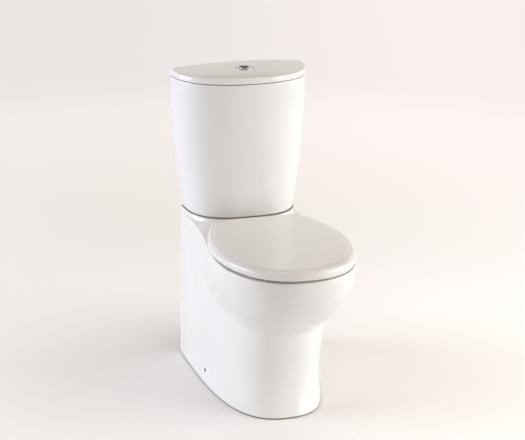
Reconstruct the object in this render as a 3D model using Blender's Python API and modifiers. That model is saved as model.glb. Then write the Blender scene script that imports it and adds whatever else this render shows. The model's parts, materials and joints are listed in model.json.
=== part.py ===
"""A close-coupled toilet that stands back to the wall, with its cistern, seat, valves and fixings.

Metres, +Z up, Z zero on the floor. X runs to the right, seen from the front. The back of the pan
and of the cistern lie in the wall plane, and places in plan are an x and a distance from the wall.
"""
import math

import bmesh
import bpy
from mathutils import Matrix, Vector

# Driving sizes of the whole toilet
PROJECTION = 0.6155
RIM_HEIGHT = 0.4155
COLUMN_HALF_WIDTH = 0.1498
CISTERN_HEIGHT = 0.3615
CISTERN_HALF_WIDTH = 0.1813
CISTERN_DEPTH = 0.1500
SEAT_HALF_WIDTH = 0.1786
HINGE_DISTANCE = 0.2145
CLEAR = 0.0003
RUNNING = 0.0004
OVERRUN = 0.010
MERGE = 0.00002
UNIT = 1.0
HALF = 0.5
FULL_TURN = 2 * math.pi

# How finely round shapes are divided
OUTLINE_STEPS = 30
PAN_STEPS = 22
RAY_STEPS = 24
PAN_LEVEL_SHARES = (
    0.0, 0.10, 0.19, 0.29, 0.385, 0.48, 0.54, 0.565, 0.59, 0.615, 0.645, 0.68, 0.72, 0.77, 0.83,
    0.895, 0.95,
)
BOWL_LEVEL_SHARES = (0.17, 0.26, 0.36, 0.48, 0.61, 0.75, 0.88)
BASIN_LEVEL_SHARES = (0.0, 0.07, 0.16, 0.29, 0.45, 0.63, 0.82, 1.0)
BOWL_STEPS = 28
SEAT_STEPS = 20
TURNED_SIDES = 16
FINE_SIDES = 24
LEVELS = 6
ROUND_STEPS = 3
TRAP_STEPS = 2

# Pan skin: a column that is D-shaped in plan, and the bowl that bulges from it
COLUMN_DEPTH_SHARE = 0.79025
COLUMN_DEPTH = PROJECTION * COLUMN_DEPTH_SHARE
COLUMN_SIDE_POWER = 2.6
COLUMN_FRONT_POWER = 3.67
WAIST = 0.020
WAIST_TOP_SHARE = 0.568
WAIST_TOP = RIM_HEIGHT * WAIST_TOP_SHARE
WAIST_LEAN_POWER = 0.72
BOWL_TOP_GAP = 0.0025
BOWL_TOP = RIM_HEIGHT - BOWL_TOP_GAP
BOWL_DROP_SHARE = 0.59855
BOWL_DROP = RIM_HEIGHT * BOWL_DROP_SHARE
BOWL_SIDE_GAP = 0.0039
BOWL_HALF_WIDTH = SEAT_HALF_WIDTH - BOWL_SIDE_GAP
BOWL_CENTRE_SHARE = 0.66515
BOWL_CENTRE = PROJECTION * BOWL_CENTRE_SHARE
BOWL_FRONT_GAP = 0.0061
BOWL_FRONT = PROJECTION - BOWL_CENTRE - BOWL_FRONT_GAP
BOWL_REAR_SHARE = 0.5524
BOWL_REAR = PROJECTION * BOWL_REAR_SHARE
BOWL_CENTRE_DRIFT = 0.0907
BOWL_SIDE_POWER = 2.38
BOWL_FRONT_POWER = 2.18
BOWL_REAR_SIDE_POWER = 1.2
BOWL_REAR_POWER = 1.66
BOWL_DROP_POWER = 2.08
BOWL_SHRINK_POWER = 0.808
BLEND = 0.014
CORE_DISTANCE = 0.300
RIM_EDGE_RADIUS = 0.006
CHINA = 0.012
BOWL_CHINA = 0.011
DECK_THICKNESS = 0.016
PLINTH_RISE = 0.0125
PLINTH_HEIGHT = RIM_HEIGHT + PLINTH_RISE
PLINTH_TOP_GAP = 0.0015
PLINTH_TOP_DEPTH = CISTERN_DEPTH - PLINTH_TOP_GAP
PLINTH_TOE_REACH = 0.0140
PLINTH_TOE_DEPTH = CISTERN_DEPTH + PLINTH_TOE_REACH
PLINTH_SIDE_STEP = 0.0006
PLINTH_POWER = 2.9
HOLLOW_DROP = 0.0555
HOLLOW_TOP = RIM_HEIGHT - HOLLOW_DROP
DECK_HOLLOW_REACH = 0.0225
DECK_HOLLOW_FRONT = HINGE_DISTANCE + DECK_HOLLOW_REACH

# Inside of the bowl, from the rim's opening down to the sump
BASIN_CENTRE_SHARE = 0.62551
BASIN_CENTRE = PROJECTION * BASIN_CENTRE_SHARE
BASIN_POWER = 2.1
RIM_SIDE_WIDTH = 0.0497
OPENING_HALF_WIDTH = BOWL_HALF_WIDTH - RIM_SIDE_WIDTH
RIM_FRONT_WIDTH = 0.0525
OPENING_FRONT = PROJECTION - BASIN_CENTRE - RIM_FRONT_WIDTH
OPENING_BACK_REACH = 0.0355
OPENING_REAR = BASIN_CENTRE - HINGE_DISTANCE - OPENING_BACK_REACH
LIP_DROP = 0.045
LIP_THICKNESS = 0.008
RIM_ROOF = 0.014
CHANNEL_SIDE_REACH = 0.0230
CHANNEL_HALF_WIDTH = OPENING_HALF_WIDTH + CHANNEL_SIDE_REACH
CHANNEL_FRONT_REACH = 0.0235
CHANNEL_FRONT = OPENING_FRONT + CHANNEL_FRONT_REACH
CHANNEL_REAR_REACH = 0.0150
CHANNEL_REAR = OPENING_REAR + CHANNEL_REAR_REACH
SUMP_CENTRE_SHARE = 0.56052
SUMP_CENTRE = PROJECTION * SUMP_CENTRE_SHARE
SUMP_HEIGHT_SHARE = 0.26955
SUMP_HEIGHT = RIM_HEIGHT * SUMP_HEIGHT_SHARE
SUMP_HALF_WIDTH = 0.0350
SUMP_LENGTH = 0.0400
BASIN_DROP_POWER = 1.6
BASIN_SHRINK_POWER = 2.0

# Trapway, from the sump over the weir to the outlet spigot
TRAP_BORE = 0.026
TRAP_WALL = 0.010
TRAP_START_REACH = 0.011
TRAP_START_DISTANCE = SUMP_CENTRE + TRAP_START_REACH
TRAP_START_RISE = 0.029
TRAP_START_HEIGHT = SUMP_HEIGHT + TRAP_START_RISE
TRAP_DIP_REACH = 0.031
TRAP_DIP_DISTANCE = SUMP_CENTRE - TRAP_DIP_REACH
TRAP_DIP_RISE = 0.026
TRAP_DIP_HEIGHT = SUMP_HEIGHT + TRAP_DIP_RISE
WEIR_DISTANCE_SHARE = 0.31194
WEIR_DISTANCE = PROJECTION * WEIR_DISTANCE_SHARE
WEIR_RISE = 0.128
WEIR_HEIGHT = SUMP_HEIGHT + WEIR_RISE
TRAP_BEND_SHARE = 0.52083
TRAP_BEND_DISTANCE = WEIR_DISTANCE * TRAP_BEND_SHARE
TRAP_BEND_RISE = 0.008
TRAP_END_DISTANCE = 0.060
TRAP_RISE_SHARES = ((0.64, 0.26), (0.33, 0.77), (0.44, 0.68))
OUTLET_HEIGHT = 0.180
OUTLET_INNER_DISTANCE = 0.115
OUTLET_END_DISTANCE = 0.030
SPIGOT_RADIUS = 0.051
SPIGOT_BORE = 0.041

# Flush duct from the plinth's inlet to the rim channel
DUCT_HALF_WIDTH = 0.043
DUCT_WALL = 0.010
DUCT_DROP = 0.0535
DUCT_FLOOR = RIM_HEIGHT - DUCT_DROP
DUCT_COVER = 0.0105
DUCT_ROOF = RIM_HEIGHT - DUCT_COVER
DUCT_BACK = 0.024
DUCT_REACH = 0.0475
DUCT_END = HINGE_DISTANCE + DUCT_REACH
INLET_RADIUS = 0.034
RECESS_RADIUS = 0.0525
RECESS_DEPTH = 0.016

# Cistern shell
CISTERN_FOOT_SIDE_GAP = 0.0018
CISTERN_FOOT_HALF_WIDTH = COLUMN_HALF_WIDTH - CISTERN_FOOT_SIDE_GAP
CISTERN_FOOT_FRONT_GAP = 0.0033
CISTERN_FOOT_DEPTH = CISTERN_DEPTH - CISTERN_FOOT_FRONT_GAP
CISTERN_SIDE_POWER = 2.39
CISTERN_FRONT_POWER = 2.42
CISTERN_FOOT_SIDE_POWER = 2.85
CISTERN_FOOT_FRONT_POWER = 2.92
CISTERN_TAPER_POWER = 2.1
CISTERN_WALL = 0.010
CISTERN_FLOOR = 0.012

# Cistern lid
LID_OVERHANG = 0.0010
LID_SIDE = 0.0100
LID_EDGE_RADIUS = 0.0070
LID_CROWN = 0.0080
LID_CROWN_POWER = 2.2
LID_CROWN_SHARES = (0.88, 0.72, 0.52, 0.30, 0.10)
LID_LIP_GAP = 0.0012
LID_LIP_WIDTH = 0.0050
LID_LIP_DROP = 0.0065
BUTTON_PAD_RADIUS = 0.0243
BUTTON_PAD_DEPTH = 0.0062

# Push button in the cistern lid
BUTTON_DISTANCE_SHARE = 0.45333
BUTTON_DISTANCE = CISTERN_DEPTH * BUTTON_DISTANCE_SHARE
BEZEL_RADIUS = 0.0235
BEZEL_THICKNESS = 0.0024
BEZEL_ROUND = 0.0012
SLEEVE_RADIUS = 0.0195
SLEEVE_BORE = 0.0165
SLEEVE_LENGTH = 0.040
SLEEVE_FLOOR = 0.004
LID_HOLE_RADIUS = 0.0203
BUTTON_RADIUS = 0.0160
BUTTON_HEIGHT = 0.012
BUTTON_PROUD = 0.0008
BUTTON_DISH = 0.0008
BUTTON_SPLIT = 0.0010
BUTTON_SPLIT_X = 0.0030
BEZEL_NUT_RADIUS = 0.0260
BEZEL_NUT_HEIGHT = 0.011
ROD_RADIUS = 0.0018
ROD_OFFSET = 0.0135
ROD_REACH = 0.0110

# Dual flush valve under the button
TAIL_RADIUS = 0.030
TAIL_BORE = 0.0245
TAIL_DROP = 0.032
VALVE_FLANGE_RADIUS = 0.038
VALVE_FLANGE_HEIGHT = 0.0042
VALVE_SEAT_RADIUS = 0.0285
VALVE_SEAT_HEIGHT = 0.0085
VALVE_WASHER_RADIUS = 0.0370
VALVE_WASHER_HEIGHT = 0.0019
CISTERN_VALVE_HOLE = 0.0315
VALVE_NUT_RADIUS = 0.0400
VALVE_NUT_HEIGHT = 0.0125
DOUGHNUT_INNER = 0.0425
DOUGHNUT_OUTER = 0.0515
CAGE_RADIUS = 0.0335
CAGE_WALL = 0.0025
CAGE_HEADROOM = 0.1195
CAGE_HEIGHT = CISTERN_HEIGHT - CAGE_HEADROOM
CAGE_WINDOW_WIDTH = 0.036
CAGE_WINDOW_SILL = 0.004
CAGE_WINDOW_HEIGHT = 0.080
HEAD_RADIUS = 0.0345
HEAD_HEIGHT = 0.0220
HEAD_BORE = 0.0100
OVERFLOW_RADIUS = 0.0095
OVERFLOW_BORE = 0.0075
OVERFLOW_RISE = 0.0090
SEAL_HOLDER_RADIUS = 0.0265
SEAL_HOLDER_HEIGHT = 0.0045
SEAL_RADIUS = 0.0280
SEAL_THICKNESS = 0.0024
VALVE_FLOAT_RADIUS = 0.0285
VALVE_FLOAT_HEIGHT = 0.055
VALVE_FLOAT_SHARE = 0.41322
VALVE_FLOAT_RISE = CAGE_HEIGHT * VALVE_FLOAT_SHARE

# Fill valve at the left of the cistern
FILL_X_SHARE = 0.72096
FILL_X = -COLUMN_HALF_WIDTH * FILL_X_SHARE
FILL_DISTANCE_SHARE = 0.44
FILL_DISTANCE = CISTERN_DEPTH * FILL_DISTANCE_SHARE
FILL_TAIL_RADIUS = 0.0103
FILL_TAIL_BORE = 0.0050
FILL_TAIL_DROP = 0.056
FILL_BORE_RISE = 0.130
FILL_FLANGE_RADIUS = 0.0155
FILL_FLANGE_HEIGHT = 0.0030
FILL_WASHER_RADIUS = 0.0150
FILL_COLUMN_RADIUS = 0.0080
FILL_HEADROOM = 0.1415
FILL_COLUMN_HEIGHT = CISTERN_HEIGHT - FILL_HEADROOM
CISTERN_FILL_HOLE = 0.0112
PAN_FILL_HOLE = 0.0210
FILL_NUT_RADIUS = 0.0165
FILL_NUT_HEIGHT = 0.0095
FILL_CAP_RADIUS = 0.0145
FILL_CAP_HEIGHT = 0.0270
EAR_THICKNESS = 0.0030
EAR_DEPTH = 0.0090
EAR_RISE = 0.0120
TRUNNION_RADIUS = 0.0016
LEVER_WIDTH = 0.0070
LEVER_THICKNESS = 0.0030
LEVER_FRONT = 0.0480
LEVER_BACK = 0.0070
LEVER_GAP = 0.0012
FILL_FLOAT_RADIUS = 0.0200
FILL_FLOAT_HEIGHT = 0.050
FILL_FLOAT_SHARE = 0.53636
FILL_FLOAT_RISE = FILL_COLUMN_HEIGHT * FILL_FLOAT_SHARE
FLOAT_EAR_WIDTH = 0.0080
FLOAT_EAR_THICKNESS = 0.0050
FLOAT_EAR_REACH = 0.0395
LINK_RADIUS = 0.0015
LINK_DISTANCE = 0.0360

# Bolts that couple the cistern to the pan
COUPLING_X_SHARE = 0.46729
COUPLING_X = COLUMN_HALF_WIDTH * COUPLING_X_SHARE
COUPLING_DISTANCE = BUTTON_DISTANCE
COUPLING_BOLT_RADIUS = 0.0038
COUPLING_HEAD_RADIUS = 0.0085
COUPLING_HEAD_HEIGHT = 0.0050
CONE_WASHER_RADIUS = 0.0125
CONE_WASHER_NECK = 0.0085
CONE_WASHER_HEIGHT = 0.0065
CISTERN_BOLT_HOLE = 0.0052
PAN_BOLT_HOLE = 0.0055
COUPLING_TAIL = 0.036
FLAT_WASHER_RADIUS = 0.0110
FLAT_WASHER_HEIGHT = 0.0015

# Wing nuts, shared by the coupling bolts and the seat studs
WING_HUB_RADIUS = 0.0070
WING_HEIGHT = 0.0095
WING_SPAN = 0.0280
WING_THICKNESS = 0.0032
WING_STEP_SHARE = 0.15

# Seat: the lid wraps over the ring, and both turn on one axis
SEAT_CENTRE_SHARE = 0.6104
SEAT_CENTRE = PROJECTION * SEAT_CENTRE_SHARE
SEAT_BACK_GAP = 0.0135
SEAT_BACK = HINGE_DISTANCE - SEAT_BACK_GAP
SEAT_REAR_SHARE = 0.55402
SEAT_REAR = PROJECTION * SEAT_REAR_SHARE
SEAT_SIDE_POWER = 2.385
SEAT_FRONT_POWER = 2.176
SEAT_REAR_SIDE_POWER = 1.114
SEAT_REAR_POWER = 1.657
SEAT_CORNER = 0.018
SEAT_GAP = 0.0074
SEAT_LID_HEIGHT = 0.0266
SEAT_LID_EDGE = 0.0140
SEAT_LID_SHELL = 0.0040
HINGE_RISE = 0.0200
BARREL_RADIUS = 0.0070
HINGE_X_SHARE = 0.43393
HINGE_X = SEAT_HALF_WIDTH * HINGE_X_SHARE
POST_BARREL = 0.0230
POST_NECK = 0.0100
POST_FLANGE_RADIUS = 0.0105
POST_FLANGE_HEIGHT = 0.0026
STUD_SHIFT = 0.0020
NOTCH_HALF_WIDTH = 0.0135
NOTCH_RISE = 0.0055
NOTCH_DEPTH = 0.0062
RING_EAR_WIDTH = 0.0190
LID_EAR_WIDTH = 0.0155
EAR_GAP = 0.0005
PIN_RADIUS = 0.0030
RING_THICKNESS = 0.0176
RING_INSET = 0.0075
RING_BACK = 0.0292
RING_CORNER = 0.012
RING_OVERHANG = 0.0170
RING_OPENING_HALF_WIDTH = OPENING_HALF_WIDTH - RING_OVERHANG
RING_FRONT_OVERHANG = 0.0280
RING_OPENING_FRONT = OPENING_FRONT - RING_FRONT_OVERHANG
RING_REAR_OVERHANG = 0.0200
RING_OPENING_REAR = OPENING_REAR - RING_REAR_OVERHANG
RING_SECTION_SHARES = (
    (0.0, 0.0), (0.0, 0.6), (0.05, 0.9), (0.20, 1.0), (0.68, 0.94), (0.92, 0.8), (1.0, 0.5),
    (0.92, 0.12), (0.84, 0.0),
)
STUD_RADIUS = 0.0035
STUD_TAIL = 0.0280
STUD_HOLE = 0.0075
STUD_TOP_CLEARANCE = 0.0045
SEAT_WASHER_HEIGHT = 0.0010
BUFFER_RADIUS = 0.0075
BUFFER_FRONT_INSET = 0.0586
BUFFER_FRONT_X = SEAT_HALF_WIDTH - BUFFER_FRONT_INSET
BUFFER_FRONT_GAP = 0.0875
BUFFER_FRONT_DISTANCE = PROJECTION - BUFFER_FRONT_GAP
BUFFER_REAR_INSET = 0.0326
BUFFER_REAR_X = SEAT_HALF_WIDTH - BUFFER_REAR_INSET
BUFFER_REAR_GAP = 0.0357
BUFFER_REAR_DISTANCE = SEAT_CENTRE - BUFFER_REAR_GAP
LID_BUFFER_RADIUS = 0.0060
LID_BUFFER_INSET = 0.0836
LID_BUFFER_X = SEAT_HALF_WIDTH - LID_BUFFER_INSET
LID_BUFFER_GAP = 0.0955
LID_BUFFER_DISTANCE = PROJECTION - LID_BUFFER_GAP

# Floor brackets behind the flanks
BRACKET_DISTANCE_SHARE = 0.36604
BRACKET_DISTANCE = PROJECTION * BRACKET_DISTANCE_SHARE
BRACKET_SCREW_HEIGHT = 0.0412
BRACKET_THICKNESS = 0.0030
BRACKET_HEIGHT = 0.058
BRACKET_LENGTH = 0.040
BRACKET_FOOT = 0.034
FLANK_HOLE = 0.0055
FLANK_NECK_HOLE = 0.0036
FLANK_COUNTERBORE = 0.0075
FLANK_HEAD_RADIUS = 0.0050
FLANK_HEAD_HEIGHT = 0.0030
FLANK_SCREW_RADIUS = 0.0030
FLANK_SCREW_TAIL = 0.0100
FLOOR_SCREW_RADIUS = 0.0035
FLOOR_HEAD_RADIUS = 0.0065
FLOOR_HEAD_HEIGHT = 0.0045
FLOOR_SCREW_INSET = 0.019

# Places worked out from the sizes above
WALL_Y = PROJECTION * HALF
DECK_UNDERSIDE = RIM_HEIGHT - DECK_THICKNESS
CISTERN_BASE = PLINTH_HEIGHT + CLEAR
CISTERN_TOP = CISTERN_BASE + CISTERN_HEIGHT
CISTERN_INSIDE = CISTERN_BASE + CISTERN_FLOOR
LID_BASE = CISTERN_TOP + CLEAR
LID_SHOULDER = LID_BASE + LID_SIDE + LID_EDGE_RADIUS
LID_CEILING = LID_SHOULDER - LID_EDGE_RADIUS
LID_TOP = LID_SHOULDER + LID_CROWN
PAD_HEIGHT = LID_TOP - BUTTON_PAD_DEPTH + BEZEL_THICKNESS
BEZEL_BASE = PAD_HEIGHT + CLEAR
BEZEL_TOP = BEZEL_BASE + BEZEL_THICKNESS
SLEEVE_BASE = BEZEL_BASE - SLEEVE_LENGTH
BUTTON_TOP = BEZEL_TOP + BUTTON_PROUD
BUTTON_BASE = BUTTON_TOP - BUTTON_HEIGHT
VALVE_FLANGE_BASE = CISTERN_INSIDE + VALVE_WASHER_HEIGHT + 2 * CLEAR
VALVE_FLANGE_TOP = VALVE_FLANGE_BASE + VALVE_FLANGE_HEIGHT
VALVE_SEAT_TOP = VALVE_FLANGE_TOP + VALVE_SEAT_HEIGHT
CAGE_BASE = VALVE_FLANGE_TOP + CLEAR
HEAD_BASE = CAGE_BASE + CAGE_HEIGHT + CLEAR
HEAD_TOP = HEAD_BASE + HEAD_HEIGHT
SEAL_HOLDER_BASE = VALVE_SEAT_TOP + SEAL_THICKNESS + 2 * CLEAR
FILL_FLANGE_BASE = CISTERN_INSIDE + VALVE_WASHER_HEIGHT + 2 * CLEAR
FILL_FLANGE_TOP = FILL_FLANGE_BASE + FILL_FLANGE_HEIGHT
FILL_CAP_BASE = FILL_FLANGE_TOP + FILL_COLUMN_HEIGHT + CLEAR
FILL_CAP_TOP = FILL_CAP_BASE + FILL_CAP_HEIGHT
LEVER_HEIGHT = FILL_CAP_TOP + EAR_RISE * HALF
FILL_FLOAT_BASE = CISTERN_INSIDE + FILL_FLOAT_RISE
FILL_FLOAT_TOP = FILL_FLOAT_BASE + FILL_FLOAT_HEIGHT
SEAT_BASE = RIM_HEIGHT + SEAT_GAP
SEAT_TOP = SEAT_BASE + SEAT_LID_HEIGHT
SEAT_CEILING = SEAT_TOP - SEAT_LID_SHELL
RING_TOP = SEAT_BASE + RING_THICKNESS
HINGE_HEIGHT = RIM_HEIGHT + HINGE_RISE
STUD_DISTANCE = HINGE_DISTANCE + STUD_SHIFT
POST_BASE = RIM_HEIGHT + SEAT_WASHER_HEIGHT + 2 * CLEAR

PARTS = bpy.data.collections.new("toilet")
CUTTERS = bpy.data.collections.new("cutters")
AXES = {
    "X": Matrix.Rotation(FULL_TURN / 4, 4, "Y"),
    "Y": Matrix.Rotation(-FULL_TURN / 4, 4, "X"),
    "Z": Matrix.Identity(4),
}


def at(x, distance, height):
    """World point from an x, a distance out from the wall and a height."""
    return Vector((x, WALL_Y - distance, height))


def finish(name, colour, roughness, metallic=0.0):
    """A plain material of one colour."""
    made = bpy.data.materials.new(name)
    made.use_nodes = True
    shader = made.node_tree.nodes["Principled BSDF"]
    shader.inputs["Base Color"].default_value = (*colour, 1.0)
    shader.inputs["Roughness"].default_value = roughness
    shader.inputs["Metallic"].default_value = metallic
    made.diffuse_color = (*colour, 1.0)
    return made


def empty(name, place):
    """A bare axis that a moving group hangs from."""
    holder = bpy.data.objects.new(name, None)
    PARTS.objects.link(holder)
    holder.location = place
    return holder


def add(name, shape, material=None, holder=None, origin=None):
    """Make an object of a bmesh in world coordinates, with its origin where it is asked for."""
    mesh = bpy.data.meshes.new(name)
    shape.to_mesh(mesh)
    shape.free()
    return add_mesh(name, mesh, material, holder, origin)


def add_mesh(name, mesh, material=None, holder=None, origin=None):
    """Link a mesh as a part, or as a hidden cutter where it has no material."""
    item = bpy.data.objects.new(name, mesh)
    place = Vector(origin) if origin is not None else Vector()
    mesh.transform(Matrix.Translation(-place))
    item.location = place
    if material is None:
        CUTTERS.objects.link(item)
        item.hide_render = True
        item.display_type = "WIRE"
        return item
    PARTS.objects.link(item)
    mesh.materials.append(material)
    mesh.shade_smooth()
    mesh.set_sharp_from_angle(angle=math.radians(35))
    if holder is not None:
        item.parent = holder
        item.location = place - holder.location
    return item


def combine(item, tool, operation="DIFFERENCE"):
    """Cut a hidden tool out of an object, or join it on."""
    step = item.modifiers.new(tool.name, "BOOLEAN")
    step.object = tool
    step.operation = operation
    step.solver = "EXACT"
    return item


def skin(rings):
    """Closed body through level rings of equal count, with a flat face on each end."""
    shape = bmesh.new()
    rows = [[shape.verts.new(point) for point in ring] for ring in rings]
    for low, high in zip(rows, rows[1:]):
        for index in range(len(low)):
            after = (index + 1) % len(low)
            shape.faces.new((low[index], low[after], high[after], high[index]))
    shape.faces.new(rows[0])
    shape.faces.new(rows[-1])
    bmesh.ops.recalc_face_normals(shape, faces=shape.faces)
    return shape


def looped_skin(rings):
    """Closed body through rings that come back to the first one, like a hollow frame."""
    shape = bmesh.new()
    rows = [[shape.verts.new(point) for point in ring] for ring in rings]
    for low, high in zip(rows, rows[1:] + rows[:1]):
        for index in range(len(low)):
            after = (index + 1) % len(low)
            shape.faces.new((low[index], low[after], high[after], high[index]))
    bmesh.ops.recalc_face_normals(shape, faces=shape.faces)
    return shape


def block(low, high):
    """Box between two corners."""
    low, high = Vector(low), Vector(high)
    size = Vector([abs(a - b) for a, b in zip(low, high)])
    shape = bmesh.new()
    bmesh.ops.create_cube(shape, size=UNIT)
    bmesh.ops.scale(shape, vec=size, verts=shape.verts)
    bmesh.ops.translate(shape, vec=(low + high) * HALF, verts=shape.verts)
    return shape


def drum(radius, start, end, axis="Z", sides=TURNED_SIDES):
    """Cylinder between two points on a line along the axis."""
    start, end = Vector(start), Vector(end)
    shape = bmesh.new()
    length = (end - start).length
    bmesh.ops.create_cone(
        shape, cap_ends=True, segments=sides, radius1=radius, radius2=radius, depth=length
    )
    bmesh.ops.transform(shape, matrix=AXES[axis], verts=shape.verts)
    bmesh.ops.translate(shape, vec=(start + end) * HALF, verts=shape.verts)
    return shape


def turned(name, profile, material, holder, place, axis="Z", sides=TURNED_SIDES, ring=False):
    """Body turned from a profile of (radius, height) that runs down its outer side."""
    shape = bmesh.new()
    points = [shape.verts.new((radius, 0, height)) for radius, height in profile]
    for first, second in zip(points, points[1:]):
        shape.edges.new((first, second))
    if ring:
        shape.edges.new((points[-1], points[0]))
    mesh = bpy.data.meshes.new(name)
    shape.to_mesh(mesh)
    shape.free()
    mesh.materials.append(material)
    item = bpy.data.objects.new(name, mesh)
    PARTS.objects.link(item)
    item.rotation_euler = AXES[axis].to_euler()
    item.location = place
    if holder is not None:
        item.parent = holder
        item.location = place - holder.location
    spin = item.modifiers.new("turned", "SCREW")
    spin.steps = sides
    spin.render_steps = sides
    spin.use_merge_vertices = True
    spin.merge_threshold = MERGE
    spin.use_smooth_shade = False
    return item


def band(inner, outer, low, high):
    """Square section of a washer or a nut, for turning."""
    return [(outer, high), (outer, low), (inner, low), (inner, high)]


def d_outline(half_width, depth, side_power, front_power, back=0.0, steps=OUTLINE_STEPS):
    """Half superellipse from the right back corner round the front, closed along the back."""
    points = []
    for index in range(steps + 1):
        turn = math.pi * index / steps
        across, out = math.cos(turn), max(math.sin(turn), 0.0)
        x = math.copysign(half_width * abs(across) ** (2 / side_power), across)
        points.append((x, back + depth * out ** (2 / front_power)))
    return points


def egg_outline(half_width, front, rear, centre, power, steps=BOWL_STEPS):
    """Superellipse whose front half and rear half have their own lengths."""
    points = []
    for index in range(steps):
        turn = FULL_TURN * index / steps
        across, out = math.cos(turn), math.sin(turn)
        x = math.copysign(half_width * abs(across) ** (2 / power), across)
        reach = front if out > 0 else rear
        points.append((x, centre + math.copysign(reach * abs(out) ** (2 / power), out)))
    return points


def raised(outline, height):
    """Outline as world points at one height."""
    return [at(x, distance, height) for x, distance in outline]


def mirrored(right):
    """Whole outline from its right half, whose last point lies on the centre line."""
    left = [(-x, distance) for x, distance in reversed(right[:-1])]
    return right + left


# Pan

def waist_at(height):
    """How far the column's front draws in at a height, none at the floor and under the bowl."""
    share = min(max(height / WAIST_TOP, 0.0), 1.0)
    return WAIST * math.sin(math.pi * share ** WAIST_LEAN_POWER) ** 2


def bowl_share(height):
    """Size of the bowl's outline at a height, as a share of the outline at its rim."""
    drop = min(max((BOWL_TOP - height) / BOWL_DROP, 0.0), 1.0)
    return (1 - drop ** BOWL_DROP_POWER) ** BOWL_SHRINK_POWER


def column_reach(height):
    """Distance from the wall to the front of the column at a height."""
    return COLUMN_DEPTH - waist_at(height)


def column_half_width(distance, height):
    """Half-width of the D-shaped column at a distance from the wall."""
    room = 1 - (distance / column_reach(height)) ** COLUMN_FRONT_POWER
    return COLUMN_HALF_WIDTH * room ** (1 / COLUMN_SIDE_POWER)


def column_outline(height, inset=0.0):
    """D-shaped outline of the column at a height."""
    return d_outline(
        COLUMN_HALF_WIDTH - inset, column_reach(height) - inset,
        COLUMN_SIDE_POWER, COLUMN_FRONT_POWER,
    )


def bowl_outline(height, inset=0.0):
    """Outline of the bowl at a height: broad in front, and a long taper inside the column."""
    share = bowl_share(height)
    centre = BOWL_CENTRE - BOWL_CENTRE_DRIFT * (1 - share)
    half_width = BOWL_HALF_WIDTH * share - inset
    front = BOWL_FRONT * share - inset
    rear = BOWL_REAR * share - inset
    points = []
    for index in range(BOWL_STEPS):
        turn = FULL_TURN * index / BOWL_STEPS
        across, out = math.cos(turn), math.sin(turn)
        if out >= 0:
            side, along, reach = BOWL_SIDE_POWER, BOWL_FRONT_POWER, front
        else:
            side, along, reach = BOWL_REAR_SIDE_POWER, BOWL_REAR_POWER, -rear
        x = math.copysign(half_width * abs(across) ** (2 / side), across)
        points.append((x, centre + reach * abs(out) ** (2 / along)))
    return points


def column_depth_inside(x, distance, height, inset):
    """Below zero inside the column's outline."""
    side = (abs(x) / (COLUMN_HALF_WIDTH - inset)) ** COLUMN_SIDE_POWER
    along = (abs(distance) / (column_reach(height) - inset)) ** COLUMN_FRONT_POWER
    return side + along - 1


def bowl_depth_inside(x, distance, height, inset):
    """Below zero inside the bowl's outline."""
    share = bowl_share(height)
    half_width = BOWL_HALF_WIDTH * share - inset
    if half_width <= inset:
        return 1.0
    away = distance - BOWL_CENTRE + BOWL_CENTRE_DRIFT * (1 - share)
    if away > 0:
        side, along, reach = BOWL_SIDE_POWER, BOWL_FRONT_POWER, BOWL_FRONT * share - inset
    else:
        side, along, reach = BOWL_REAR_SIDE_POWER, BOWL_REAR_POWER, BOWL_REAR * share
    return (abs(x) / half_width) ** side + (abs(away) / reach) ** along - 1


def ray_length(shape, across, out, height, inset):
    """How far a ray from the pan's core runs before it leaves a shape for good."""
    far = PROJECTION
    near = far
    while near > 0 and shape(near * across, CORE_DISTANCE + near * out, height, inset) > 0:
        near -= far / RAY_STEPS
    if near <= 0:
        return 0.0
    far = near + far / RAY_STEPS
    for _ in range(RAY_STEPS):
        middle = (near + far) * HALF
        if shape(middle * across, CORE_DISTANCE + middle * out, height, inset) > 0:
            far = middle
        else:
            near = middle
    return near


def pan_outline(height, inset=0.0):
    """Outline of the pan: the longer of two rays at each angle, blended where they meet."""
    right = [(COLUMN_HALF_WIDTH - inset, 0.0)]
    start = math.atan2(-CORE_DISTANCE, COLUMN_HALF_WIDTH)
    for index in range(1, PAN_STEPS + 1):
        angle = start + (math.pi * HALF - start) * index / PAN_STEPS
        across, out = math.cos(angle), math.sin(angle)
        column = ray_length(column_depth_inside, across, out, height, inset)
        bowl = ray_length(bowl_depth_inside, across, out, height, inset)
        overlap = max(BLEND - abs(column - bowl), 0.0) / BLEND
        reach = max(column, bowl) + overlap ** 2 * BLEND / 4
        right.append((reach * across, CORE_DISTANCE + reach * out))
    right[-1] = (0.0, right[-1][1])
    return mirrored(right)


def pan_skin():
    """Outer body of the pan from the floor to the rim, with a rounded rim edge."""
    heights = [RIM_HEIGHT * share for share in PAN_LEVEL_SHARES]
    rings = [raised(pan_outline(height), height) for height in heights]
    for index in range(ROUND_STEPS + 1):
        turn = math.pi * HALF * index / ROUND_STEPS
        inset = RIM_EDGE_RADIUS * (1 - math.cos(turn))
        height = RIM_HEIGHT - RIM_EDGE_RADIUS * (1 - math.sin(turn))
        rings.append(raised(pan_outline(height, inset), height))
    return skin(rings)


def bowl_levels(top):
    """Heights of the bowl's rings, closer together where its outline grows fast."""
    low = BOWL_TOP - BOWL_DROP
    return [low + (top - low) * share for share in BOWL_LEVEL_SHARES]


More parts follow.
